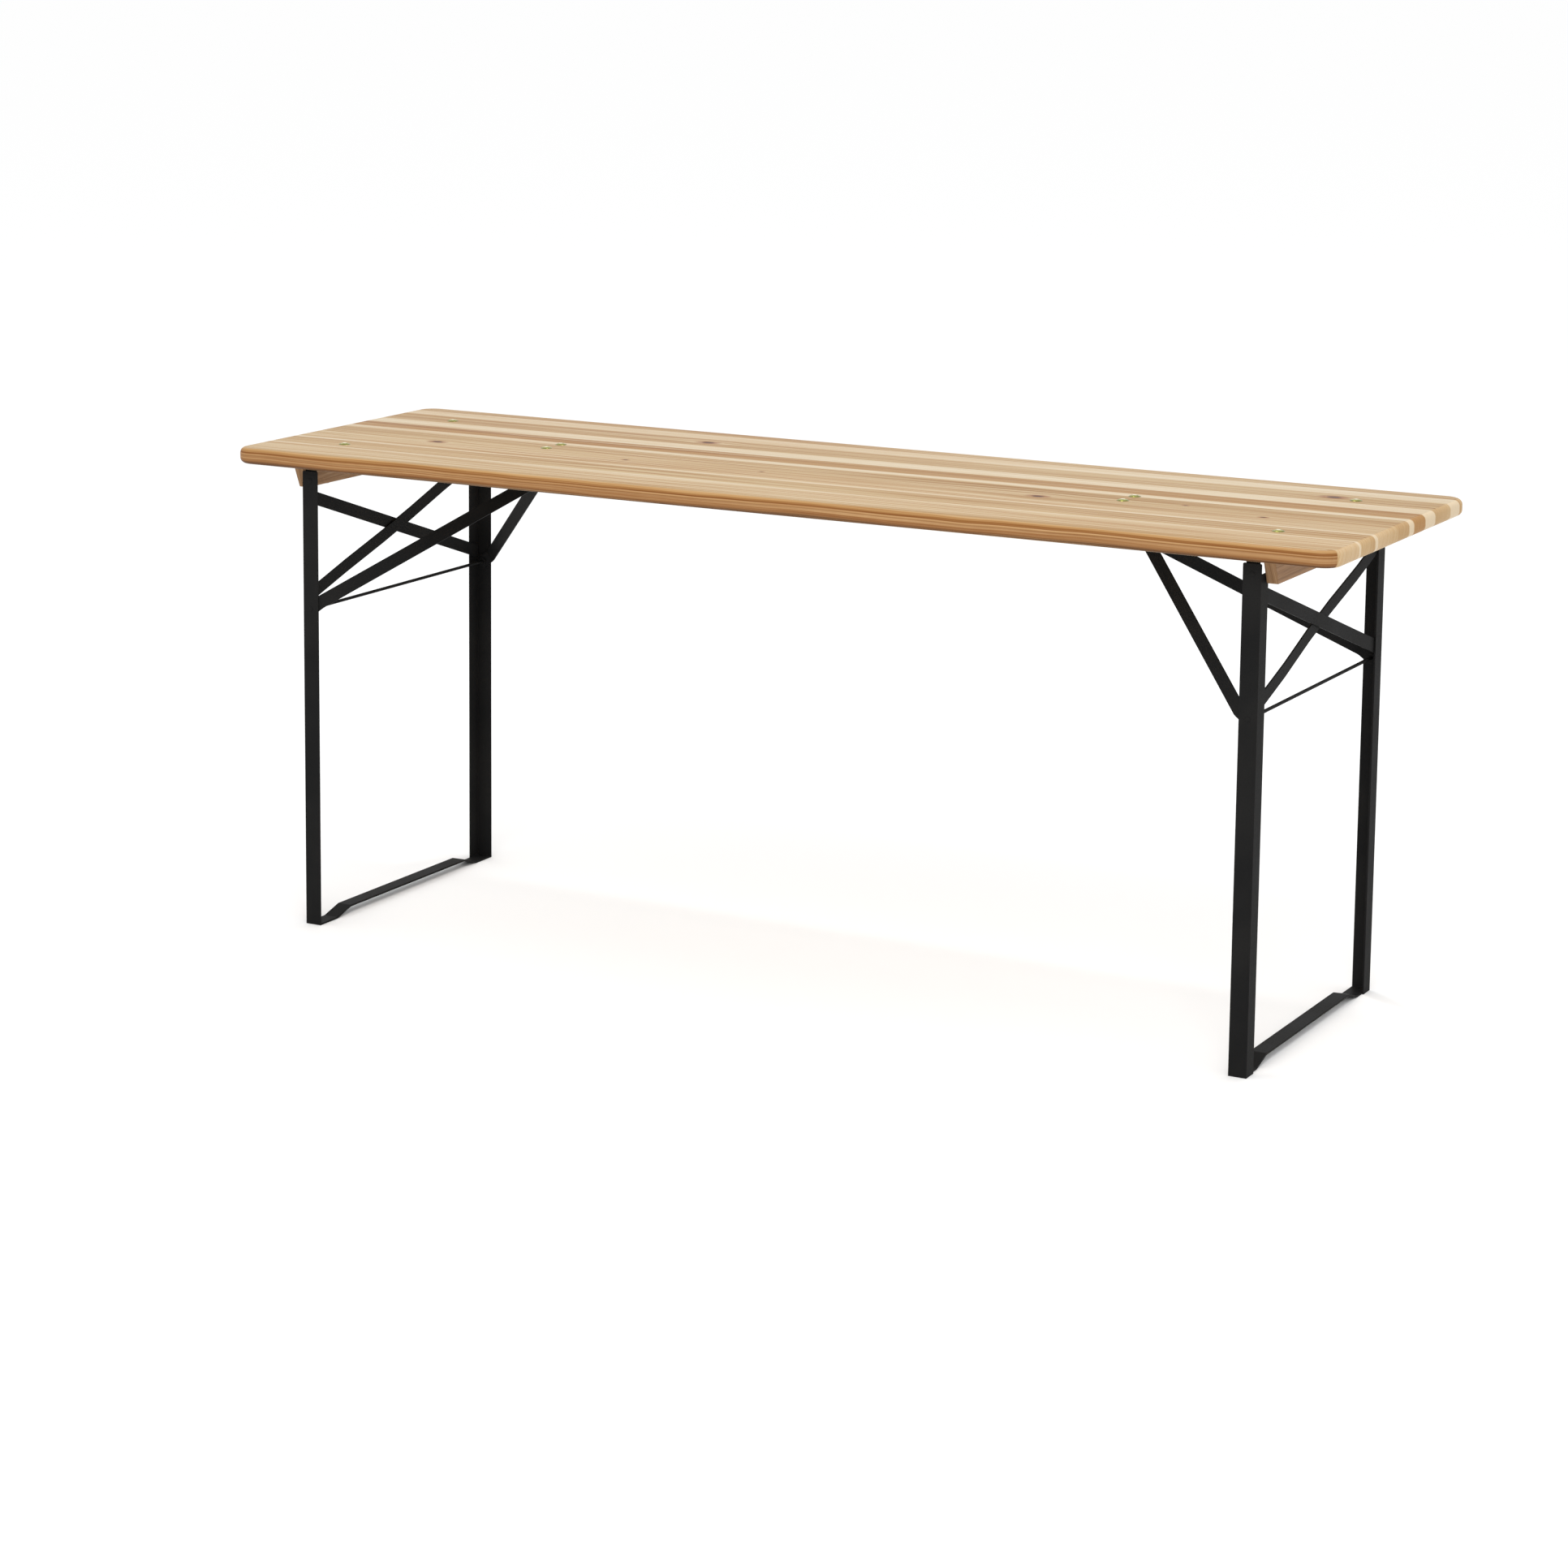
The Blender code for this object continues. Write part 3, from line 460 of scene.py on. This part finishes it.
def black_steel():
    """Black powder coat: clouds of two tones, dark dimples, pale scuffs along the bars and fine grit."""
    graph = Graph("black_steel")
    place = graph.place()
    peel = graph.noise(place, scale=620.0, detail=2.0, roughness=0.55)
    grit = graph.noise(place, scale=2600.0, detail=1.0)
    cloud = graph.noise(place, scale=9.0, detail=3.0)
    scuff = graph.noise(graph.stretch(place, (160.0, 160.0, 28.0)), detail=3.0, roughness=0.65)
    colour = graph.mix(graph.remap(cloud, 0.35, 0.70), STEEL_COOL, STEEL_WARM)
    colour = graph.mix(graph.remap(peel, 0.50, 0.70, 0.0, 0.45), colour, STEEL_DIMPLE)
    colour = graph.mix(graph.remap(scuff, 0.66, 0.80, 0.0, 0.30), colour, STEEL_SCUFF)
    colour = graph.mix(graph.remap(grit, 0.62, 0.80, 0.0, 0.40), colour, STEEL_GRIT)
    rough = graph.remap(graph.blend(cloud, peel, 0.4), 0.30, 0.70, 0.43, 0.59)
    height = graph.blend(peel, grit, 0.25)
    return graph.finish(Base_Color=colour, Roughness=rough, Normal=graph.bump(height, 0.30, 0.0003),
                        Specular_IOR_Level=0.025)


def plated(name, pale, deep, tint, crown, roughness):
    """Plated metal: blotches of two colours, a tint in the film, a painted highlight on the crown with
    painted shade toward the rim, fine turning marks.
    """
    graph = Graph(name)
    place = graph.place()
    blotch = graph.noise(place, scale=240.0, detail=3.0, roughness=0.6)
    film = graph.noise(place, scale=95.0, detail=1.0, distortion=0.6)
    marks = graph.noise(graph.stretch(place, (900.0, 900.0, 3200.0)), detail=1.0)
    colour = graph.mix(graph.remap(blotch, 0.35, 0.68), pale, deep)
    colour = graph.mix(graph.remap(film, 0.45, 0.70, 0.0, 0.6), colour, tint)
    flat = graph.calc("ABSOLUTE", graph.normal_parts()[2])
    # Painted light by how a face turns: the deep colour on steep faces is painted shade, the crown colour
    # on faces turned up is a painted highlight
    colour = graph.mix(graph.remap(flat, 0.970, 0.900, 0.0, 0.85), colour, deep)
    colour = graph.mix(graph.remap(flat, 0.975, 0.994, 0.0, 0.80), colour, crown)
    rough = graph.remap(blotch, 0.30, 0.70, roughness - 0.06, roughness + 0.10)
    return graph.finish(Base_Color=colour, Roughness=rough, Normal=graph.bump(marks, 0.12, 0.0001),
                        Metallic=1.0)


MATERIALS = {
    "pine_top": pine_top(),
    "pine_batten": pine_batten(),
    "black_steel": black_steel(),
    # The fifth colour of each plated metal is the painted highlight for its crown
    "brass_plated": plated("brass_plated", (0.560, 0.500, 0.190), (0.170, 0.180, 0.035),
                           (0.430, 0.440, 0.130), (0.920, 0.900, 0.720), 0.26),
    "zinc_steel": plated("zinc_steel", (0.640, 0.650, 0.660), (0.420, 0.430, 0.445),
                         (0.600, 0.610, 0.640), (0.680, 0.690, 0.700), 0.34),
}

# --- pieces ---------------------------------------------------------------------------------------


def body_of(node):
    return next(body for body, nodes in frame["record"]["behaviour"]["bodies"].items() if node in nodes)


def add_piece(name, mesh, slot, body, nodes=()):
    """Shows a mesh as a piece of the table, moving with a body and standing for the named nodes."""
    piece = bpy.data.objects.new(name, mesh)
    bpy.context.scene.collection.objects.link(piece)
    mesh.materials.clear()
    mesh.materials.append(MATERIALS[slot])
    mesh.shade_smooth()
    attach(piece, body)
    if nodes:
        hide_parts(*nodes)
    return piece


def applied(piece):
    """Turns the piece's modifiers into its mesh."""
    graph = bpy.context.evaluated_depsgraph_get()
    mesh = bpy.data.meshes.new_from_object(piece.evaluated_get(graph))
    piece.modifiers.clear()
    piece.data = mesh
    return piece


SAME_POINT = 1e-5
FLAT_ENOUGH = math.radians(0.8)
EASE_SEGMENTS = 2


def eased(node, slot, width, angle=35):
    """The node's own shape with its edges sharper than the angle, in degrees, eased."""
    mesh = frame["nodes"][node].data.copy()
    work = bmesh.new()
    work.from_mesh(mesh)
    bmesh.ops.remove_doubles(work, verts=work.verts, dist=SAME_POINT)
    bmesh.ops.dissolve_limit(work, angle_limit=FLAT_ENOUGH, verts=work.verts, edges=work.edges)
    work.to_mesh(mesh)
    work.free()
    piece = add_piece(node + "_eased", mesh, slot, body_of(node), [node])
    ease = piece.modifiers.new("ease", "BEVEL")
    ease.width = width
    ease.segments = EASE_SEGMENTS
    ease.limit_method = "ANGLE"
    ease.angle_limit = math.radians(angle)
    ease.use_clamp_overlap = False
    flats = piece.modifiers.new("flats", "WEIGHTED_NORMAL")
    flats.mode = "FACE_AREA"
    flats.weight = 100
    return applied(piece)


def revolve(profile, placement, sides, ring=False):
    """Turns (radius, height) points about the placement's z. A ring profile closes on itself."""
    work = bmesh.new()
    rows = []
    for radius, height in profile:
        if radius == 0:
            rows.append([work.verts.new((0, 0, height))] * sides)
            continue
        turns = [2 * math.pi * k / sides for k in range(sides)]
        rows.append([work.verts.new((radius * math.cos(a), radius * math.sin(a), height)) for a in turns])
    pairs = list(zip(rows, rows[1:])) + ([(rows[-1], rows[0])] if ring else [])
    for upper, lower in pairs:
        for k in range(sides):
            corners = [upper[k - 1], lower[k - 1], lower[k], upper[k]]
            unique = [v for i, v in enumerate(corners) if v not in corners[:i]]
            work.faces.new(unique)
    bmesh.ops.recalc_face_normals(work, faces=work.faces)
    work.transform(placement)
    mesh = bpy.data.meshes.new("turned")
    work.to_mesh(mesh)
    work.free()
    return mesh


def sharpen(mesh, degrees=40):
    """Shades a mesh smooth, but not over edges sharper than this."""
    mesh.shade_smooth()
    mesh.set_sharp_from_angle(angle=math.radians(degrees))


def dome(radius, height, base, steps=8):
    """Points of a domed head, from its crown to its rim."""
    ball = (radius**2 + height**2) / (2 * height)
    widest = math.asin(radius / ball)
    angles = [widest * k / steps for k in range(steps + 1)]
    return [(ball * math.sin(a), base + height - ball + ball * math.cos(a)) for a in angles]


def upright(middle):
    """Placement of a turned piece whose heights are levels above the floor."""
    return Matrix.Translation((middle.x, middle.y, 0))


def lying(middle):
    """Placement of a turned piece whose heights run across the table."""
    return Matrix.Translation(middle) @ Matrix.Rotation(-math.pi / 2, 4, "X")


# --- the top --------------------------------------------------------------------------------------

TOP_CORNER_RADIUS = 0.030
TOP_EDGE_RADIUS = 0.009
TOP_CORNER_STEPS = 12
TOP_EDGE_STEPS = 7
BOLT_SIDES = 40
BOLT_SHANK_RADIUS = 0.003
BOLT_HOLE_RADIUS = 0.0033
SEAT_CLEARANCE = 0.0003
SEAT_DEPTH = 0.0005
CUTTER_PAST = 0.010  # how far a cutter starts outside the top


def rounded_ring(half_x, half_y, radius):
    """Points round a rectangle with round corners."""
    points = []
    for quarter, (sx, sy) in enumerate(((1, 1), (-1, 1), (-1, -1), (1, -1))):
        for k in range(TOP_CORNER_STEPS + 1):
            a = math.pi / 2 * (quarter + k / TOP_CORNER_STEPS)
            points.append((sx * (half_x - radius) + radius * math.cos(a),
                           sy * (half_y - radius) + radius * math.sin(a)))
    return points


def board_mesh():
    """The top's board, rounded at its corners and along its edges."""
    quarter = [math.pi / 2 * k / TOP_EDGE_STEPS for k in range(TOP_EDGE_STEPS + 1)]
    edge = TOP_EDGE_RADIUS
    lower = [(edge * (1 - math.sin(a)), TOP_LOW.z + edge * (1 - math.cos(a))) for a in quarter]
    upper = [(edge * (1 - math.cos(a)), TOP_LEVEL - edge * (1 - math.sin(a))) for a in quarter]
    work = bmesh.new()
    rows = []
    for inset, level in lower + upper:
        ring = rounded_ring(TOP_HIGH.x - inset, TOP_HIGH.y - inset, TOP_CORNER_RADIUS - inset)
        rows.append([work.verts.new((px, py, level)) for px, py in ring])
    for under, over in zip(rows, rows[1:]):
        for k in range(len(under)):
            work.faces.new((under[k - 1], under[k], over[k], over[k - 1]))
    work.faces.new(rows[-1])
    work.faces.new(list(reversed(rows[0])))
    bmesh.ops.recalc_face_normals(work, faces=work.faces)
    mesh = bpy.data.meshes.new("table_top")
    work.to_mesh(mesh)
    work.free()
    return mesh


def make_top():
    top = add_piece("timber_top", board_mesh(), "pine_top", "top", ["table_top"])
    bolts = [f"{side}_{end}_{kind}_bolt" for side in SIDES for end in ENDS for kind in BOLTED]
    cutters = [bolt_cutter(bolt) for bolt in bolts]
    for cutter in cutters:
        cut = top.modifiers.new("cut", "BOOLEAN")
        cut.operation = "DIFFERENCE"
        cut.object = cutter
    applied(top)
    for cutter in cutters:
        bpy.data.objects.remove(cutter)
    sharpen(top.data)


def bolt_cutter(node):
    """The space that a bolt takes in the top: its hole and the pressed seat of its head."""
    lo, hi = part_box(node)
    middle = (lo + hi) / 2
    seat_radius = (hi.x - lo.x) / 2 + SEAT_CLEARANCE
    seat = TOP_LEVEL - SEAT_DEPTH
    above, below = TOP_LEVEL + CUTTER_PAST, TOP_LOW.z - CUTTER_PAST
    profile = [(0, above), (seat_radius, above), (seat_radius, seat), (BOLT_HOLE_RADIUS, seat),
               (BOLT_HOLE_RADIUS, below), (0, below)]
    mesh = revolve(profile, upright(middle), BOLT_SIDES)
    cutter = bpy.data.objects.new("cutter", mesh)
    bpy.context.scene.collection.objects.link(cutter)
    return cutter


# --- fasteners ------------------------------------------------------------------------------------

# Bolts
HEAD_RIM = 0.0004
HEAD_HEIGHT = 0.0027
HEAD_STEPS = 10
THREAD_PITCH = 0.0008
THREAD_DEPTH = 0.0003
THREADED_LENGTH = 0.014

# Nuts
NUT_SIDES = 60
NUT_FACE_SHARE = 0.98  # radius of a nut's round face, as a share of half its width across the flats
NUT_CORNER_FALL = 0.6  # how far its turned-off corners fall, as a share of how far they stand out
NUT_HOLE_EASE = 0.0004

# Pins, washers and screws
PIN_SIDES = 32
PIN_HEAD_RIM = 0.0002
WASHER_SIDES = 40
WASHER_HOLE_RADIUS = 0.0028
WASHER_EASE = 0.0002
SCREW_SIDES = 28
SCREW_HEAD_HEIGHT = 0.0022
SCREW_HEAD_RIM = 0.0004
SCREW_RADIUS = 0.0019
SCREW_POINT_LENGTH = 0.004


def make_bolt(node):
    """Domed bolt, head up, its lower end threaded."""
    lo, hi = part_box(node)
    middle = (lo + hi) / 2
    radius = (hi.x - lo.x) / 2
    base = hi.z - HEAD_HEIGHT
    profile = dome(radius - HEAD_RIM / 3, HEAD_HEIGHT - HEAD_RIM, base + HEAD_RIM, HEAD_STEPS)
    profile += [(radius, base + HEAD_RIM * 0.7), (radius, base), (BOLT_SHANK_RADIUS, base)]
    level = lo.z + THREADED_LENGTH
    profile.append((BOLT_SHANK_RADIUS, level))
    while level > lo.z + 2 * THREAD_PITCH:
        profile.append((BOLT_SHANK_RADIUS - THREAD_DEPTH, level - THREAD_PITCH / 2))
        profile.append((BOLT_SHANK_RADIUS, level - THREAD_PITCH))
        level -= THREAD_PITCH
    profile += [(BOLT_SHANK_RADIUS - 2 * THREAD_DEPTH, lo.z), (0, lo.z)]
    mesh = revolve(profile, upright(middle), BOLT_SIDES)
    piece = add_piece(node + "_turned", mesh, "brass_plated", body_of(node), [node])
    sharpen(piece.data)


def make_nut(node):
    """Six-sided nut whose corners are turned off at both faces."""
    lo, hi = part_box(node)
    middle = (lo + hi) / 2
    corner = (hi.x - lo.x) / 2
    flat = corner * math.cos(math.pi / 6)
    fall = (corner - flat) * NUT_CORNER_FALL
    face = flat * NUT_FACE_SHARE
    hole = BOLT_HOLE_RADIUS
    mouth = hole + NUT_HOLE_EASE
    # Rows of points, up the outside and down the hole. A row with no radius of its own is six-sided.
    levels = [(mouth, lo.z), (face, lo.z), (None, lo.z + fall), (None, hi.z - fall), (face, hi.z),
              (mouth, hi.z), (hole, hi.z - NUT_HOLE_EASE), (hole, lo.z + NUT_HOLE_EASE)]
    rows = []
    work = bmesh.new()
    for radius, level in levels:
        row = []
        for k in range(NUT_SIDES):
            a = 2 * math.pi * k / NUT_SIDES
            r = radius or flat / math.cos((a % (math.pi / 3)) - math.pi / 6)
            row.append(work.verts.new((middle.x + r * math.cos(a), middle.y + r * math.sin(a), level)))
        rows.append(row)
    for upper, lower in zip(rows, rows[1:] + rows[:1]):
        for k in range(NUT_SIDES):
            work.faces.new((upper[k - 1], lower[k - 1], lower[k], upper[k]))
    bmesh.ops.recalc_face_normals(work, faces=work.faces)
    mesh = bpy.data.meshes.new(node)
    work.to_mesh(mesh)
    work.free()
    piece = add_piece(node + "_cut", mesh, "zinc_steel", body_of(node), [node])
    sharpen(piece.data, 25)


def make_pin(node, shank_radius, head_height):
    """Pin across the frame with a domed head at both ends."""
    lo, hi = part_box(node)
    middle = (lo + hi) / 2
    half = (hi.y - lo.y) / 2
    head_radius = (hi.x - lo.x) / 2
    rim = half - head_height
    upper = dome(head_radius, head_height - PIN_HEAD_RIM, rim + PIN_HEAD_RIM) + [(head_radius, rim)]
    profile = upper + [(shank_radius, rim), (shank_radius, -rim)] + [(r, -z) for r, z in reversed(upper)]
    mesh = revolve(profile, lying(middle), PIN_SIDES)
    piece = add_piece(node + "_turned", mesh, "black_steel", body_of(node), [node])
    sharpen(piece.data)


def make_washer(node):
    lo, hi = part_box(node)
    middle = (lo + hi) / 2
    radius, half = (hi.x - lo.x) / 2, (hi.y - lo.y) / 2
    hole, ease = WASHER_HOLE_RADIUS, WASHER_EASE
    profile = [(hole, half - ease), (hole + ease, half), (radius - ease, half), (radius, half - ease),
               (radius, ease - half), (radius - ease, -half), (hole + ease, -half), (hole, ease - half)]
    mesh = revolve(profile, lying(middle), WASHER_SIDES, ring=True)
    piece = add_piece(node + "_turned", mesh, "black_steel", body_of(node), [node])
    sharpen(piece.data, 30)


def make_screw(node):
    """Pan-head wood screw, drawn with its head up and then turned over, head down."""
    lo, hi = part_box(node)
    middle = (lo + hi) / 2
    radius = (hi.x - lo.x) / 2
    base = -(lo.z + SCREW_HEAD_HEIGHT)
    head = dome(radius, SCREW_HEAD_HEIGHT - SCREW_HEAD_RIM, base + SCREW_HEAD_RIM) + [(radius, base)]
    profile = head + [(SCREW_RADIUS, base), (SCREW_RADIUS, -(hi.z - SCREW_POINT_LENGTH)), (0, -hi.z)]
    mesh = revolve(profile, upright(middle) @ Matrix.Rotation(math.pi, 4, "X"), SCREW_SIDES)
    piece = add_piece(node + "_turned", mesh, "zinc_steel", body_of(node), [node])
    sharpen(piece.data)


# --- weld beads -----------------------------------------------------------------------------------

BEAD_SIDES = 10
BEAD_STEP = 0.0006
BEAD_ROWS = 10  # rows of points in the shortest bead
BEAD_TAPER = 6  # a bead reaches its full thickness 1 / BEAD_TAPER of the way along it
RIPPLE_PITCH = 0.0022
RIPPLE_HEIGHT = 0.10  # a share of the bead's radius, as is the chance part of it
RIPPLE_CHANCE = 0.05

# At the feet: where a bead starts and stops, from the foot strip's inner and outer edge or from its end
FOOT_BEAD_RADIUS = 0.0016
FOOT_BEAD_LEVEL = 0.003
FOOT_END_START, FOOT_END_STOP = 0.002, 0.001
FOOT_SIDE_START, FOOT_SIDE_STOP = 0.0220, 0.0010

# At the braces' ends: how long a bead is and how far it stays from the end of the brace's height
BRACE_BEAD_RADIUS = 0.0015
BRACE_BEAD_LENGTH = 0.0170
BRACE_BEAD_INSET = 0.0045
BRACE_BEAD_PAST = 0.0003  # how far past the brace's end its middle runs

# How deep a bead's middle lies in the face that it runs along
SUNK = 0.0004
SIDE_SUNK = 0.0003

FOOT_END_SEED, FOOT_SIDE_SEED, UPPER_BRACE_SEED, LOWER_BRACE_SEED = 11, 12, 13, 14


def weld_bead(name, start, stop, radius, body, seed):
    """A rippled bead of weld metal between two points."""
    start, stop = Vector(start), Vector(stop)
    chance = random.Random(seed)
    length = (stop - start).length
    along = (stop - start).normalized()
    side = along.orthogonal().normalized()
    other = along.cross(side)
    count = max(BEAD_ROWS, int(length / BEAD_STEP))
    turns = [2 * math.pi * j / BEAD_SIDES for j in range(BEAD_SIDES)]
    spokes = [side * math.cos(a) + other * math.sin(a) for a in turns]
    work = bmesh.new()
    rows = [[work.verts.new(start)] * BEAD_SIDES]
    for k in range(1, count):
        share = k / count
        taper = min(1.0, BEAD_TAPER * min(share, 1 - share)) ** 0.5
        wave = RIPPLE_HEIGHT * math.sin(2 * math.pi * share * length / RIPPLE_PITCH)
        r = radius * taper * (1 + wave + chance.uniform(-RIPPLE_CHANCE, RIPPLE_CHANCE))
        centre = start + along * length * share
        rows.append([work.verts.new(centre + spoke * r) for spoke in spokes])
    rows.append([work.verts.new(stop)] * BEAD_SIDES)
    for upper, lower in zip(rows, rows[1:]):
        for j in range(BEAD_SIDES):
            corners = [upper[j - 1], lower[j - 1], lower[j], upper[j]]
            work.faces.new([v for i, v in enumerate(corners) if v not in corners[:i]])
    bmesh.ops.recalc_face_normals(work, faces=work.faces)
    mesh = bpy.data.meshes.new(name)
    work.to_mesh(mesh)
    work.free()
    return add_piece(name, mesh, "black_steel", body)


def make_welds(side):
    """Beads where the foot strip and the braces' ends meet the legs."""
    body = side + "_leg_frame"
    strip_lo, strip_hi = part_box(side + "_foot_strip")
    brace_lo, brace_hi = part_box(side + "_straight_brace")
    sign = 1 if side == "right" else -1
    inner_x = min(abs(strip_lo.x), abs(strip_hi.x)) * sign
    outer_x = max(abs(strip_lo.x), abs(strip_hi.x)) * sign
    x_side = outer_x - sign * SIDE_SUNK
    x_brace = sign * (max(abs(brace_lo.x), abs(brace_hi.x)) - SUNK)
    high, low = brace_hi.z - BRACE_BEAD_INSET, brace_lo.z + BRACE_BEAD_INSET
    level = FOOT_BEAD_LEVEL
    for end, way in zip(ENDS, (-1, 1)):
        name = f"{side}_{end}"
        y_end = way * strip_hi.y
        y_bead = y_end - way * SUNK
        weld_bead(name + "_foot_end_weld", (inner_x + sign * FOOT_END_START, y_bead, level),
                  (outer_x - sign * FOOT_END_STOP, y_bead, level), FOOT_BEAD_RADIUS, body, FOOT_END_SEED)
        weld_bead(name + "_foot_side_weld", (x_side, y_end - way * FOOT_SIDE_START, level),
                  (x_side, y_end - way * FOOT_SIDE_STOP, level), FOOT_BEAD_RADIUS, body, FOOT_SIDE_SEED)
        y_brace = way * (brace_hi.y + BRACE_BEAD_PAST)
        weld_bead(name + "_upper_brace_weld", (x_brace, y_brace, high - BRACE_BEAD_LENGTH),
                  (x_brace, y_brace, high), BRACE_BEAD_RADIUS, body, UPPER_BRACE_SEED)
        weld_bead(name + "_lower_brace_weld", (x_brace, y_brace, low),
                  (x_brace, y_brace, low + BRACE_BEAD_LENGTH), BRACE_BEAD_RADIUS, body, LOWER_BRACE_SEED)


# --- stage ----------------------------------------------------------------------------------------

FLOOR_REACH = 120
FLOOR_TONE = (0.90, 0.90, 0.90)
FLOOR_ROUGHNESS = 0.9
WORLD_STRENGTH = 1.1

# Lights: name, place, what it aims at, size and power
LIGHTS = (
    ("key", (1.5, -4.0, 5.0), (0, 0, 0.4), 3.5, 150),
    ("rim", (-0.3, 0.9, 4.0), (0.5, 0, 0.75), 0.3, 18),
)


def make_floor():
    far = FLOOR_REACH
    mesh = bpy.data.meshes.new("floor")
    mesh.from_pydata([(-far, -far, 0), (far, -far, 0), (far, far, 0), (-far, far, 0)], [], [(0, 1, 2, 3)])
    floor = bpy.data.objects.new("floor", mesh)
    bpy.context.scene.collection.objects.link(floor)
    graph = Graph("pale_floor")
    mesh.materials.append(
        graph.finish(Base_Color=FLOOR_TONE, Roughness=FLOOR_ROUGHNESS, Specular_IOR_Level=0.0))


def area_light(name, place, aim, size, power):
    data = bpy.data.lights.new(name, "AREA")
    data.shape = "DISK"
    data.size = size
    data.energy = power
    light = bpy.data.objects.new(name, data)
    direction = Vector(aim) - Vector(place)
    light.rotation_euler = direction.to_track_quat("-Z", "Y").to_euler()
    light.location = place
    bpy.context.scene.collection.objects.link(light)


def make_light():
    world = bpy.data.worlds.new("studio")
    world.use_nodes = True
    sky = world.node_tree.nodes["Background"]
    sky.inputs["Color"].default_value = (1, 1, 1, 1)
    sky.inputs["Strength"].default_value = WORLD_STRENGTH
    bpy.context.scene.world = world
    for light in LIGHTS:
        area_light(*light)
    bpy.context.scene.view_settings.view_transform = "Standard"


# --- the whole table ------------------------------------------------------------------------------

STEEL_EASE = 0.0004
TIMBER_EASE = 0.0008
BATTEN_EASE_ANGLE = 25

# Pins: radius of the shank and height of the heads
HEADS = {"fold_rivet": (0.0025, 0.0012), "strut_rod": (0.0025, 0.0012), "strut_pin": (0.004, 0.0018)}


def dress_side(side):
    eased(side + "_batten", "pine_batten", TIMBER_EASE, BATTEN_EASE_ANGLE)
    for name in ("hinge_bar", "strut_catch", "foot_strip", "straight_brace", "stepped_brace"):
        eased(f"{side}_{name}", "black_steel", STEEL_EASE)
    for name in ("strut_rod", "strut_pin"):
        make_pin(f"{side}_{name}", *HEADS[name])
    for end in ENDS:
        eased(f"{side}_{end}_leg", "black_steel", STEEL_EASE)
        eased(f"{side}_{end}_strut_arm", "black_steel", STEEL_EASE)
        make_pin(f"{side}_{end}_fold_rivet", *HEADS["fold_rivet"])
        make_washer(f"{side}_{end}_strut_washer")
        make_screw(f"{side}_{end}_batten_screw")
        for kind in BOLTED:
            make_bolt(f"{side}_{end}_{kind}_bolt")
            make_nut(f"{side}_{end}_{kind}_nut")
    spring = frame["nodes"][side + "_catch_spring"]
    spring.data.materials.clear()
    spring.data.materials.append(MATERIALS["zinc_steel"])
    make_welds(side)


make_camera()
make_floor()
make_light()
make_top()
for side_name in SIDES:
    dress_side(side_name)
